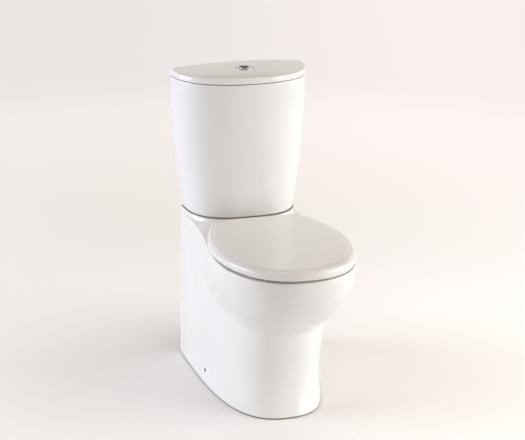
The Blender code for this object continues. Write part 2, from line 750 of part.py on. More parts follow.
def plinth():
    """Raised bed under the cistern, whose front slopes down to the deck."""
    foot = d_outline(
        COLUMN_HALF_WIDTH - PLINTH_SIDE_STEP, PLINTH_TOE_DEPTH, PLINTH_POWER, PLINTH_POWER,
        back=PLINTH_SIDE_STEP,
    )
    top = d_outline(
        COLUMN_HALF_WIDTH - 2 * PLINTH_SIDE_STEP, PLINTH_TOP_DEPTH, PLINTH_POWER, PLINTH_POWER,
        back=PLINTH_SIDE_STEP,
    )
    return skin([
        raised(foot, DECK_UNDERSIDE + DECK_THICKNESS * HALF),
        raised(foot, RIM_HEIGHT),
        raised(top, PLINTH_HEIGHT),
    ])


def basin(wall, top, bottom):
    """Body that fills the bowl's inside from a height down to the sump, grown by a wall."""
    rings = []
    ceiling = RIM_HEIGHT - RIM_ROOF
    for fall in BASIN_LEVEL_SHARES:
        share = (1 - fall ** BASIN_DROP_POWER) ** BASIN_SHRINK_POWER
        centre = BASIN_CENTRE + (SUMP_CENTRE - BASIN_CENTRE) * fall
        outline = egg_outline(
            SUMP_HALF_WIDTH + (CHANNEL_HALF_WIDTH - SUMP_HALF_WIDTH) * share + wall,
            SUMP_LENGTH + (CHANNEL_FRONT - SUMP_LENGTH) * share + wall,
            SUMP_LENGTH + (CHANNEL_REAR - SUMP_LENGTH) * share + wall,
            centre,
            BASIN_POWER,
        )
        height = ceiling + (SUMP_HEIGHT - ceiling) * fall
        rings.append((outline, height))
    rings[0] = (rings[0][0], top)
    rings[-1] = (rings[-1][0], bottom)
    return [raised(outline, height) for outline, height in rings]


def rim_opening(grow):
    """Outline of the opening inside the rim, grown by a width."""
    return egg_outline(
        OPENING_HALF_WIDTH + grow, OPENING_FRONT + grow, OPENING_REAR + grow,
        BASIN_CENTRE, BASIN_POWER,
    )


def bowl_room(wall):
    """Room in the rim for the bowl: the opening, the space behind its lip, and the walled basin."""
    lip_foot = RIM_HEIGHT - LIP_DROP
    ceiling = RIM_HEIGHT - RIM_ROOF
    rings = [
        raised(rim_opening(0.0), RIM_HEIGHT + OVERRUN),
        raised(rim_opening(0.0), lip_foot),
        raised(rim_opening(LIP_THICKNESS), lip_foot),
        raised(rim_opening(LIP_THICKNESS), ceiling),
    ]
    return skin(rings + basin(wall, ceiling, SUMP_HEIGHT - wall))


def smooth_route(points, steps):
    """Points along a Catmull-Rom curve through the given ones."""
    points = [Vector(point) for point in points]
    ends = [points[0] * 2 - points[1]] + points + [points[-1] * 2 - points[-2]]
    route = []
    for index in range(len(points) - 1):
        before, first, second, after = ends[index:index + 4]
        for step in range(steps):
            t = step / steps
            route.append(HALF * (
                2 * first + (second - before) * t
                + (2 * before - 5 * first + 4 * second - after) * t ** 2
                + (3 * first - before - 3 * second + after) * t ** 3
            ))
    return route + [points[-1]]


def trap_route():
    """Centre line of the trapway from the sump over the weir and down to the outlet."""
    rise = WEIR_HEIGHT - TRAP_DIP_HEIGHT
    run = TRAP_DIP_DISTANCE - WEIR_DISTANCE
    fall = WEIR_HEIGHT - OUTLET_HEIGHT
    low, high, past = TRAP_RISE_SHARES
    return smooth_route([
        at(0, TRAP_START_DISTANCE, TRAP_START_HEIGHT),
        at(0, TRAP_DIP_DISTANCE, TRAP_DIP_HEIGHT),
        at(0, WEIR_DISTANCE + run * low[0], TRAP_DIP_HEIGHT + rise * low[1]),
        at(0, WEIR_DISTANCE + run * high[0], TRAP_DIP_HEIGHT + rise * high[1]),
        at(0, WEIR_DISTANCE, WEIR_HEIGHT),
        at(0, WEIR_DISTANCE - run * past[0], OUTLET_HEIGHT + fall * past[1]),
        at(0, TRAP_BEND_DISTANCE, OUTLET_HEIGHT + TRAP_BEND_RISE),
        at(0, TRAP_END_DISTANCE, OUTLET_HEIGHT),
    ], TRAP_STEPS)


def tube(name, route, radius, material=None, sides=TURNED_SIDES):
    """Closed tube along a route that lies in the middle plane."""
    rings = []
    for index, place in enumerate(route):
        before = route[max(index - 1, 0)]
        after = route[min(index + 1, len(route) - 1)]
        along = (after - before).normalized()
        across = Vector((1, 0, 0))
        up = across.cross(along)
        ring = []
        for step in range(sides):
            turn = FULL_TURN * step / sides
            ring.append(place + (across * math.cos(turn) + up * math.sin(turn)) * radius)
        rings.append(ring)
    return add(name, skin(rings), material)


def cut_flank_hole(pan, side):
    """Hole through the flank for a bracket screw, wider on the outside for its head."""
    skin_x = column_half_width(BRACKET_DISTANCE, BRACKET_SCREW_HEIGHT)
    mouth = side * (skin_x + OVERRUN)
    step = side * (skin_x - FLANK_COUNTERBORE)
    inside = side * (skin_x - CHINA - OVERRUN)
    place = (BRACKET_DISTANCE, BRACKET_SCREW_HEIGHT)
    tag = "left" if side < 0 else "right"
    wide = drum(FLANK_HOLE, at(step, *place), at(mouth, *place), "X")
    narrow = drum(FLANK_NECK_HOLE, at(inside, *place), at(mouth, *place), "X")
    combine(pan, add("flank_counterbore_" + tag, wide))
    combine(pan, add("flank_neck_" + tag, narrow))


def duct_way():
    """Clear way of the flush duct, from under the inlet to the rim channel."""
    return block(
        at(DUCT_WALL - DUCT_HALF_WIDTH, DUCT_BACK + DUCT_WALL, DUCT_FLOOR + DUCT_WALL),
        at(DUCT_HALF_WIDTH - DUCT_WALL, DUCT_END, DUCT_ROOF - DUCT_WALL),
    )


def make_bowl(china):
    """Basin of the pan, from under the rim down to the sump, open to the duct and the trapway."""
    ceiling = RIM_HEIGHT - RIM_ROOF
    shell = skin(basin(BOWL_CHINA, ceiling - CLEAR, SUMP_HEIGHT - BOWL_CHINA))
    bowl = add("pan_bowl", shell, china)
    inside = basin(0.0, ceiling, SUMP_HEIGHT)
    mouth = [point + Vector((0, 0, OVERRUN)) for point in inside[0]]
    combine(bowl, add("bowl_inside", skin([mouth] + inside)))
    combine(bowl, add("bowl_duct_mouth", duct_way()))
    combine(bowl, tube("bowl_trap_mouth", trap_route(), TRAP_BORE))
    return bowl


def make_trapway(china):
    """Trapway of the pan, from the sump over the weir to the outlet spigot."""
    route = trap_route()
    trapway = tube("pan_trapway", route, TRAP_BORE + TRAP_WALL, china)
    spigot = drum(
        SPIGOT_RADIUS, at(0, OUTLET_INNER_DISTANCE + CHINA, OUTLET_HEIGHT),
        at(0, OUTLET_END_DISTANCE, OUTLET_HEIGHT), "Y", FINE_SIDES,
    )
    combine(trapway, add("spigot", spigot), "UNION")
    wall = BOWL_CHINA + CLEAR
    room = skin(basin(wall, RIM_HEIGHT - RIM_ROOF, SUMP_HEIGHT - wall))
    combine(trapway, add("bowl_saddle", room))
    combine(trapway, tube("trap_bore", route, TRAP_BORE))
    bore = drum(
        SPIGOT_BORE, at(0, OUTLET_INNER_DISTANCE, OUTLET_HEIGHT),
        at(0, OUTLET_END_DISTANCE - OVERRUN, OUTLET_HEIGHT), "Y", FINE_SIDES,
    )
    combine(trapway, add("spigot_bore", bore))
    return trapway


def make_pan(china):
    """Outside of the vitreous pan: a hollow shroud with the rim, the plinth and the flush duct."""
    pan = add("pan", pan_skin(), china)
    combine(pan, add("plinth", plinth()), "UNION")

    levels = [-OVERRUN] + [WAIST_TOP * index / LEVELS for index in range(1, LEVELS + 1)]
    rings = []
    for height in levels + [HOLLOW_TOP]:
        outline = column_outline(max(height, 0.0), CHINA)
        ends = [(outline[0][0], -OVERRUN)], [(outline[-1][0], -OVERRUN)]
        rings.append(raised(ends[0] + outline + ends[1], height))
    combine(pan, add("column_hollow", skin(rings)))
    rings = []
    for height in bowl_levels(HOLLOW_TOP - CHINA * HALF) + [HOLLOW_TOP - CHINA * HALF]:
        rings.append(raised(bowl_outline(height, CHINA), height + CHINA * HALF))
    combine(pan, add("bowl_hollow", skin(rings)))
    flank = column_half_width(DECK_HOLLOW_FRONT, RIM_HEIGHT) - CHINA
    under_deck = block(
        at(-flank, -OVERRUN, HOLLOW_TOP - OVERRUN),
        at(flank, DECK_HOLLOW_FRONT, DECK_UNDERSIDE),
    )
    combine(pan, add("deck_hollow", under_deck))

    duct = block(
        at(-DUCT_HALF_WIDTH, DUCT_BACK, DUCT_FLOOR),
        at(DUCT_HALF_WIDTH, DUCT_END - CHINA, DUCT_ROOF),
    )
    combine(pan, add("duct_wall", duct), "UNION")

    combine(pan, add("bowl_room", bowl_room(BOWL_CHINA + CLEAR)))
    combine(pan, add("duct_way", duct_way()))

    top = PLINTH_HEIGHT + OVERRUN
    recess_floor = PLINTH_HEIGHT - RECESS_DEPTH
    inlet = (0, BUTTON_DISTANCE)
    recess = drum(RECESS_RADIUS, at(*inlet, recess_floor), at(*inlet, top), "Z", FINE_SIDES)
    combine(pan, add("recess", recess))
    throat = drum(
        INLET_RADIUS, at(*inlet, DUCT_FLOOR + DUCT_WALL * 2), at(*inlet, top), "Z", FINE_SIDES
    )
    combine(pan, add("inlet", throat))
    holes = [("fill_hole", PAN_FILL_HOLE, FILL_X, FILL_DISTANCE)]
    for side, tag in ((-1, "left"), (1, "right")):
        holes.append(("bolt_hole_" + tag, PAN_BOLT_HOLE, side * COUPLING_X, COUPLING_DISTANCE))
        holes.append(("stud_hole_" + tag, STUD_HOLE, side * HINGE_X, STUD_DISTANCE))
    for name, radius, x, distance in holes:
        low = at(x, distance, DECK_UNDERSIDE - OVERRUN)
        combine(pan, add(name, drum(radius, low, at(x, distance, top))))
    for side in (-1, 1):
        cut_flank_hole(pan, side)
    return pan


# Cistern and its lid

def cistern_outline(fall, inset=0.0, front_cut=0.0, back=0.0):
    """Outline of the cistern, from its top at fall 0 to its base at fall 1."""
    share = fall ** CISTERN_TAPER_POWER
    return d_outline(
        CISTERN_HALF_WIDTH + (CISTERN_FOOT_HALF_WIDTH - CISTERN_HALF_WIDTH) * share - inset,
        CISTERN_DEPTH + (CISTERN_FOOT_DEPTH - CISTERN_DEPTH) * share - front_cut,
        CISTERN_SIDE_POWER + (CISTERN_FOOT_SIDE_POWER - CISTERN_SIDE_POWER) * share,
        CISTERN_FRONT_POWER + (CISTERN_FOOT_FRONT_POWER - CISTERN_FRONT_POWER) * share,
        back,
    )


def make_cistern(china):
    """Tapering shell, open at the top, with the valve and bolt holes in its floor."""
    falls = [1 - index / LEVELS for index in range(LEVELS + 1)]
    outer = [raised(cistern_outline(f), CISTERN_TOP - CISTERN_HEIGHT * f) for f in falls]
    cistern = add("cistern", skin(outer), china)
    rings = []
    for fall in falls:
        height = max(CISTERN_TOP - CISTERN_HEIGHT * fall, CISTERN_INSIDE)
        outline = cistern_outline(fall, CISTERN_WALL, 2 * CISTERN_WALL, CISTERN_WALL)
        rings.append(raised(outline, height))
    rings.append(raised(cistern_outline(0.0, CISTERN_WALL, 2 * CISTERN_WALL, CISTERN_WALL),
                        CISTERN_TOP + OVERRUN))
    combine(cistern, add("cistern_inside", skin(rings)))
    holes = [
        ("valve_hole", CISTERN_VALVE_HOLE, 0, BUTTON_DISTANCE),
        ("filler_hole", CISTERN_FILL_HOLE, FILL_X, FILL_DISTANCE),
        ("coupling_hole_left", CISTERN_BOLT_HOLE, -COUPLING_X, COUPLING_DISTANCE),
        ("coupling_hole_right", CISTERN_BOLT_HOLE, COUPLING_X, COUPLING_DISTANCE),
    ]
    for name, radius, x, distance in holes:
        low = at(x, distance, CISTERN_BASE - OVERRUN)
        high = at(x, distance, CISTERN_INSIDE + OVERRUN)
        sides = FINE_SIDES if radius > COUPLING_HEAD_RADIUS * 2 else TURNED_SIDES
        combine(cistern, add(name, drum(radius, low, high, "Z", sides)))
    return cistern


def lid_ring(inset, scale, height, back=0.0):
    """Outline of the cistern lid drawn in by an inset, then scaled towards its back edge."""
    outline = d_outline(
        (CISTERN_HALF_WIDTH + LID_OVERHANG - inset) * scale,
        (CISTERN_DEPTH + LID_OVERHANG - inset - back) * scale,
        CISTERN_SIDE_POWER, CISTERN_FRONT_POWER, back,
    )
    return raised(outline, height)


def make_cistern_lid(china, holder):
    """Crowned lid with a rounded front edge, a lip that drops into the cistern and a button hole."""
    rings = [lid_ring(0.0, 1.0, LID_BASE)]
    for index in range(ROUND_STEPS + 1):
        turn = math.pi * HALF * index / ROUND_STEPS
        inset = LID_EDGE_RADIUS * (1 - math.cos(turn))
        height = LID_SHOULDER - LID_EDGE_RADIUS * (1 - math.sin(turn))
        rings.append(lid_ring(inset, 1.0, height))
    for share in LID_CROWN_SHARES:
        height = LID_SHOULDER + LID_CROWN * (1 - share ** LID_CROWN_POWER)
        rings.append(lid_ring(LID_EDGE_RADIUS, share, height))
    lid = add("cistern_lid", skin(rings), china, holder, holder.location)

    lip_inset = CISTERN_WALL + LID_OVERHANG + LID_LIP_GAP
    back = CISTERN_WALL + LID_LIP_GAP
    lip = skin([
        lid_ring(lip_inset, 1.0, LID_BASE - LID_LIP_DROP, back),
        lid_ring(lip_inset, 1.0, LID_BASE + LID_LIP_DROP * HALF, back),
    ])
    combine(lid, add("lid_lip", lip), "UNION")
    hollow_inset = lip_inset + LID_LIP_WIDTH
    hollow_back = back + LID_LIP_WIDTH
    hollow = skin([
        lid_ring(hollow_inset, 1.0, LID_BASE - OVERRUN, hollow_back),
        lid_ring(hollow_inset, 1.0, LID_CEILING, hollow_back),
    ])
    combine(lid, add("lid_hollow", hollow))
    above = LID_TOP + OVERRUN
    spot = (0, BUTTON_DISTANCE)
    pad = drum(BUTTON_PAD_RADIUS, at(*spot, PAD_HEIGHT), at(*spot, above), "Z", FINE_SIDES)
    combine(lid, add("button_pad", pad))
    hole = drum(LID_HOLE_RADIUS, at(*spot, LID_BASE), at(*spot, above), "Z", FINE_SIDES)
    combine(lid, add("button_hole", hole))
    return lid


# Push button

def make_bezel(chrome, holder):
    """Chromed cup with a flange on the lid, whose floor guides the two push rods."""
    flange_edge = BEZEL_THICKNESS - BEZEL_ROUND
    profile = [
        (BEZEL_RADIUS - BEZEL_ROUND, BEZEL_THICKNESS),
        (BEZEL_RADIUS, flange_edge),
        (BEZEL_RADIUS, 0),
        (SLEEVE_RADIUS, 0),
        (SLEEVE_RADIUS, -SLEEVE_LENGTH),
        (0, -SLEEVE_LENGTH),
    ]
    inside = [(0, SLEEVE_FLOOR - SLEEVE_LENGTH), (SLEEVE_BORE, SLEEVE_FLOOR - SLEEVE_LENGTH)]
    inside.append((SLEEVE_BORE, BEZEL_THICKNESS))
    whole = inside + profile
    place = at(0, BUTTON_DISTANCE, BEZEL_BASE)
    bezel = turned("button_bezel", whole, chrome, holder, place, sides=FINE_SIDES)
    for side, tag in ((-1, "left"), (1, "right")):
        low = at(side * ROD_OFFSET, BUTTON_DISTANCE, SLEEVE_BASE - OVERRUN)
        high = at(side * ROD_OFFSET, BUTTON_DISTANCE, SLEEVE_BASE + SLEEVE_FLOOR + OVERRUN)
        combine(bezel, add("bezel_hole_" + tag, drum(ROD_RADIUS + RUNNING, low, high)))
    return bezel


def make_button(name, side, chrome, holder):
    """One half of the split button, slightly dished, with a flat where the halves meet."""
    rings = []
    for height, radius in (
        (BUTTON_BASE, BUTTON_RADIUS),
        (BUTTON_TOP - BUTTON_DISH, BUTTON_RADIUS),
        (BUTTON_TOP, BUTTON_RADIUS - BUTTON_DISH),
        (BUTTON_TOP - BUTTON_DISH, BUTTON_RADIUS * HALF),
    ):
        outline = []
        for index in range(FINE_SIDES):
            turn = FULL_TURN * index / FINE_SIDES
            outline.append(at(radius * math.cos(turn), BUTTON_DISTANCE, height)
                           + Vector((0, radius * math.sin(turn), 0)))
        rings.append(outline)
    button = add(name, skin(rings), chrome, holder, holder.location)
    edge = BUTTON_SPLIT_X + side * BUTTON_SPLIT * HALF
    away = BUTTON_SPLIT_X - side * (BUTTON_RADIUS * 2 + OVERRUN)
    reach = BUTTON_RADIUS + OVERRUN
    waste = block(
        at(edge, BUTTON_DISTANCE - reach, BUTTON_BASE - OVERRUN),
        at(away, BUTTON_DISTANCE + reach, BUTTON_TOP + OVERRUN),
    )
    combine(button, add(name + "_split", waste))
    return button


def make_push_rod(name, side, plastic, holder):
    """Thin rod from the underside of a button into its well in the valve head."""
    top = BUTTON_BASE - CLEAR
    bottom = HEAD_TOP - ROD_REACH
    place = at(side * ROD_OFFSET, BUTTON_DISTANCE, bottom)
    rod = add(name, drum(ROD_RADIUS, place, at(side * ROD_OFFSET, BUTTON_DISTANCE, top)),
              plastic, holder, holder.location)
    return rod


def make_buttons(chrome, plastic, lid_holder):
    """Bezel, nut and the two sprung halves with their rods."""
    make_bezel(chrome, lid_holder)
    nut_top = LID_CEILING - CLEAR - BEZEL_BASE
    nut = band(SLEEVE_RADIUS + CLEAR, BEZEL_NUT_RADIUS, nut_top - BEZEL_NUT_HEIGHT, nut_top)
    turned("bezel_nut", nut, plastic, lid_holder, at(0, BUTTON_DISTANCE, BEZEL_BASE),
           sides=FINE_SIDES, ring=True)
    for name, side in (("full_flush", -1), ("half_flush", 1)):
        holder = empty(name + "_slide", at(0, BUTTON_DISTANCE, BUTTON_TOP))
        make_button(name + "_button", side, chrome, holder)
        make_push_rod(name + "_rod", side, plastic, holder)


# Flush valve

def make_flush_valve(plastic, rubber, tinted):
    """Fixed parts of the flush valve, and the overflow tube that lifts its seal."""
    centre = at(0, BUTTON_DISTANCE, CISTERN_INSIDE)
    floor = CISTERN_INSIDE
    base = [
        (VALVE_SEAT_RADIUS, VALVE_SEAT_TOP - floor),
        (VALVE_SEAT_RADIUS, VALVE_FLANGE_TOP - floor),
        (VALVE_FLANGE_RADIUS, VALVE_FLANGE_TOP - floor),
        (VALVE_FLANGE_RADIUS, VALVE_FLANGE_BASE - floor),
        (TAIL_RADIUS, VALVE_FLANGE_BASE - floor),
        (TAIL_RADIUS, CISTERN_BASE - TAIL_DROP - floor),
        (TAIL_BORE, CISTERN_BASE - TAIL_DROP - floor),
        (TAIL_BORE, VALVE_SEAT_TOP - floor),
    ]
    turned("flush_valve_base", base, plastic, None, centre, sides=FINE_SIDES, ring=True)
    washer = band(TAIL_RADIUS + CLEAR, VALVE_WASHER_RADIUS, CLEAR, CLEAR + VALVE_WASHER_HEIGHT)
    turned("flush_valve_washer", washer, rubber, None, centre, sides=FINE_SIDES, ring=True)
    nut_top = CISTERN_BASE - CLEAR - floor
    nut = band(TAIL_RADIUS + CLEAR, VALVE_NUT_RADIUS, nut_top - VALVE_NUT_HEIGHT, nut_top)
    turned("flush_valve_backnut", nut, plastic, None, centre, sides=FINE_SIDES, ring=True)
    seat = PLINTH_HEIGHT - RECESS_DEPTH + CLEAR - floor
    middle = (DOUGHNUT_INNER + DOUGHNUT_OUTER) * HALF
    doughnut = [
        (middle, nut_top),
        (DOUGHNUT_OUTER, nut_top - RECESS_DEPTH / 4),
        (DOUGHNUT_OUTER, seat),
        (DOUGHNUT_INNER, seat),
        (DOUGHNUT_INNER, nut_top),
    ]
    turned("coupling_doughnut", doughnut, rubber, None, centre, sides=FINE_SIDES, ring=True)

    cage_low = CAGE_BASE - floor
    cage = band(CAGE_RADIUS - CAGE_WALL, CAGE_RADIUS, cage_low, cage_low + CAGE_HEIGHT)
    cage = turned("flush_valve_cage", cage, plastic, None, centre, sides=FINE_SIDES, ring=True)
    window_low = CAGE_BASE + CAGE_WINDOW_SILL
    reach = CAGE_RADIUS + OVERRUN
    half = CAGE_WINDOW_WIDTH * HALF
    for tag, x, y in (("x", reach, half), ("y", half, reach)):
        window = block(
            at(-x, BUTTON_DISTANCE - y, window_low),
            at(x, BUTTON_DISTANCE + y, window_low + CAGE_WINDOW_HEIGHT),
        )
        combine(cage, add("cage_window_" + tag, window))

    head = band(HEAD_BORE, HEAD_RADIUS, HEAD_BASE - floor, HEAD_TOP - floor)
    head = turned("flush_valve_head", head, tinted, None, centre, sides=FINE_SIDES, ring=True)
    for side, tag in ((-1, "left"), (1, "right")):
        low = at(side * ROD_OFFSET, BUTTON_DISTANCE, HEAD_BASE - OVERRUN)
        high = at(side * ROD_OFFSET, BUTTON_DISTANCE, HEAD_TOP + OVERRUN)
        combine(head, add("rod_well_" + tag, drum(ROD_RADIUS + RUNNING, low, high)))

    holder = empty("flush_lift", at(0, BUTTON_DISTANCE, VALVE_SEAT_TOP))
    foot = SEAL_HOLDER_BASE - VALVE_SEAT_TOP
    tube_top = HEAD_TOP - OVERFLOW_RISE - VALVE_SEAT_TOP
    tube_profile = [
        (OVERFLOW_RADIUS, tube_top),
        (OVERFLOW_RADIUS, foot + SEAL_HOLDER_HEIGHT),
        (SEAL_HOLDER_RADIUS, foot + SEAL_HOLDER_HEIGHT * HALF),
        (SEAL_HOLDER_RADIUS, foot),
        (OVERFLOW_BORE, foot),
        (OVERFLOW_BORE, tube_top),
    ]
    seat_place = holder.location.copy()
    turned("overflow_tube", tube_profile, plastic, holder, seat_place, ring=True)
    seal = band(OVERFLOW_BORE, SEAL_RADIUS, CLEAR, CLEAR + SEAL_THICKNESS)
    turned("flush_valve_seal", seal, rubber, holder, seat_place, sides=FINE_SIDES, ring=True)
    float_profile = band(
        OVERFLOW_RADIUS + CLEAR, VALVE_FLOAT_RADIUS,
        VALVE_FLOAT_RISE, VALVE_FLOAT_RISE + VALVE_FLOAT_HEIGHT,
    )
    turned("flush_valve_float", float_profile, tinted, holder, seat_place, sides=FINE_SIDES,
           ring=True)


# Fill valve

def make_fill_valve(plastic, rubber, tinted, brass):
    """Bottom-entry fill valve with a float that slides on its column and tips a lever."""
    floor = CISTERN_INSIDE
    centre = at(FILL_X, FILL_DISTANCE, floor)
    tail = CISTERN_BASE - FILL_TAIL_DROP - floor
    body = [
        (0, FILL_FLANGE_TOP + FILL_COLUMN_HEIGHT - floor),
        (FILL_COLUMN_RADIUS, FILL_FLANGE_TOP + FILL_COLUMN_HEIGHT - floor),
        (FILL_COLUMN_RADIUS, FILL_FLANGE_TOP - floor),
        (FILL_FLANGE_RADIUS, FILL_FLANGE_TOP - floor),
        (FILL_FLANGE_RADIUS, FILL_FLANGE_BASE - floor),
        (FILL_TAIL_RADIUS, FILL_FLANGE_BASE - floor),
        (FILL_TAIL_RADIUS, tail),
        (FILL_TAIL_BORE, tail),
        (FILL_TAIL_BORE, tail + FILL_BORE_RISE),
        (0, tail + FILL_BORE_RISE),
    ]
    turned("fill_valve_body", body, plastic, None, centre)
    washer = band(
        FILL_TAIL_RADIUS + CLEAR, FILL_WASHER_RADIUS, CLEAR, CLEAR + VALVE_WASHER_HEIGHT
    )
    turned("fill_valve_washer", washer, rubber, None, centre, ring=True)
    nut_top = CISTERN_BASE - CLEAR - floor
    nut = band(FILL_TAIL_RADIUS + CLEAR, FILL_NUT_RADIUS, nut_top - FILL_NUT_HEIGHT, nut_top)
    turned("fill_valve_backnut", nut, brass, None, centre, ring=True)

    cap = add("fill_valve_cap", drum(
        FILL_CAP_RADIUS, at(FILL_X, FILL_DISTANCE, FILL_CAP_BASE),
        at(FILL_X, FILL_DISTANCE, FILL_CAP_TOP),
    ), tinted)
    inner = LEVER_WIDTH * HALF + RUNNING
    for side, tag in ((-1, "left"), (1, "right")):
        ear = block(
            at(FILL_X + side * inner, FILL_DISTANCE - EAR_DEPTH * HALF,
               FILL_CAP_TOP - EAR_RISE * HALF),
            at(FILL_X + side * (inner + EAR_THICKNESS), FILL_DISTANCE + EAR_DEPTH * HALF,
               FILL_CAP_TOP + EAR_RISE),
        )
        combine(cap, add("cap_ear_" + tag, ear), "UNION")
    span = inner + EAR_THICKNESS + OVERRUN
    pivot = drum(
        TRUNNION_RADIUS + RUNNING, at(FILL_X - span, FILL_DISTANCE, LEVER_HEIGHT),
        at(FILL_X + span, FILL_DISTANCE, LEVER_HEIGHT), "X",
    )
    combine(cap, add("cap_pivot", pivot))

    pivot_place = at(FILL_X, FILL_DISTANCE, LEVER_HEIGHT)
    lever_holder = empty("fill_lever_pivot", pivot_place)
    thickness = LEVER_THICKNESS * HALF
    bar = block(
        at(FILL_X - LEVER_WIDTH * HALF, FILL_DISTANCE - LEVER_BACK, LEVER_HEIGHT - thickness),
        at(FILL_X + LEVER_WIDTH * HALF, FILL_DISTANCE + LEVER_FRONT, LEVER_HEIGHT + thickness),
    )
    lever = add("fill_valve_lever", bar, plastic, lever_holder, pivot_place)
    reach = inner + EAR_THICKNESS
    trunnion = drum(
        TRUNNION_RADIUS, at(FILL_X - reach, FILL_DISTANCE, LEVER_HEIGHT),
        at(FILL_X + reach, FILL_DISTANCE, LEVER_HEIGHT), "X",
    )
    combine(lever, add("lever_trunnion", trunnion), "UNION")

    float_place = at(FILL_X, FILL_DISTANCE, FILL_FLOAT_BASE)
    float_holder = empty("fill_float_slide", float_place)
    cup = drum(FILL_FLOAT_RADIUS, float_place, at(FILL_X, FILL_DISTANCE, FILL_FLOAT_TOP))
    cup = add("fill_valve_float", cup, tinted, float_holder, float_place)
    ear = block(
        at(FILL_X - FLOAT_EAR_WIDTH * HALF, FILL_DISTANCE,
           FILL_FLOAT_TOP - FLOAT_EAR_THICKNESS * 2),
        at(FILL_X + FLOAT_EAR_WIDTH * HALF, FILL_DISTANCE + FLOAT_EAR_REACH,
           FILL_FLOAT_TOP - FLOAT_EAR_THICKNESS),
    )
    combine(cup, add("float_ear", ear), "UNION")
    bore = drum(
        FILL_COLUMN_RADIUS + RUNNING, at(FILL_X, FILL_DISTANCE, FILL_FLOAT_BASE - OVERRUN),
        at(FILL_X, FILL_DISTANCE, FILL_FLOAT_TOP + OVERRUN),
    )
    combine(cup, add("float_bore", bore))
    link_foot = FILL_FLOAT_TOP - FLOAT_EAR_THICKNESS + CLEAR
    link_top = LEVER_HEIGHT - thickness - LEVER_GAP
    link_spot = (FILL_X, FILL_DISTANCE + LINK_DISTANCE)
    link = drum(LINK_RADIUS, at(*link_spot, link_foot), at(*link_spot, link_top))
    add("fill_valve_link", link, plastic, float_holder, float_place)


# Fixings

def make_wing_nut(name, x, distance, top, bore, plastic):
    """Hub with two flat wings, bored for its bolt."""
    low = top - WING_HEIGHT
    nut = add(name, drum(WING_HUB_RADIUS, at(x, distance, low), at(x, distance, top)), plastic,
              None, at(x, distance, top))
    wings = block(
        at(x - WING_SPAN * HALF, distance - WING_THICKNESS * HALF, low + WING_HEIGHT * WING_STEP_SHARE),
        at(x + WING_SPAN * HALF, distance + WING_THICKNESS * HALF, top - WING_HEIGHT * WING_STEP_SHARE),
    )
    combine(nut, add(name + "_wings", wings), "UNION")
    hole = drum(bore, at(x, distance, low - OVERRUN), at(x, distance, top + OVERRUN))
    combine(nut, add(name + "_bore", hole))
    return nut


def make_coupling(side, tag, brass, rubber, plastic):
    """One bolt that holds the cistern down, with its cone washer, flat washer and wing nut."""
    x = side * COUPLING_X
    washer_base = CISTERN_INSIDE + CLEAR
    head_base = washer_base + CONE_WASHER_HEIGHT + CLEAR
    place = at(x, COUPLING_DISTANCE, head_base)
    tail = DECK_UNDERSIDE - COUPLING_TAIL - head_base
    bolt = [
        (0, COUPLING_HEAD_HEIGHT),
        (COUPLING_HEAD_RADIUS, COUPLING_HEAD_HEIGHT * HALF),
        (COUPLING_HEAD_RADIUS, 0),
        (COUPLING_BOLT_RADIUS, 0),
        (COUPLING_BOLT_RADIUS, tail),
        (0, tail),
    ]
    turned("coupling_bolt_" + tag, bolt, brass, None, place)
    bore = COUPLING_BOLT_RADIUS + CLEAR
    cone = [
        (CONE_WASHER_NECK, CONE_WASHER_HEIGHT),
        (CONE_WASHER_RADIUS, CONE_WASHER_HEIGHT * HALF),
        (CONE_WASHER_RADIUS, 0),
        (bore, 0),
        (bore, CONE_WASHER_HEIGHT),
    ]
    turned("coupling_cone_washer_" + tag, cone, rubber, None,
           at(x, COUPLING_DISTANCE, washer_base), ring=True)
    top = DECK_UNDERSIDE - CLEAR
    flat = band(bore, FLAT_WASHER_RADIUS, -FLAT_WASHER_HEIGHT, 0)
    turned("coupling_flat_washer_" + tag, flat, brass, None, at(x, COUPLING_DISTANCE, top),
           ring=True)
    make_wing_nut("coupling_wing_nut_" + tag, x, COUPLING_DISTANCE,
                  top - FLAT_WASHER_HEIGHT - CLEAR, bore, plastic)


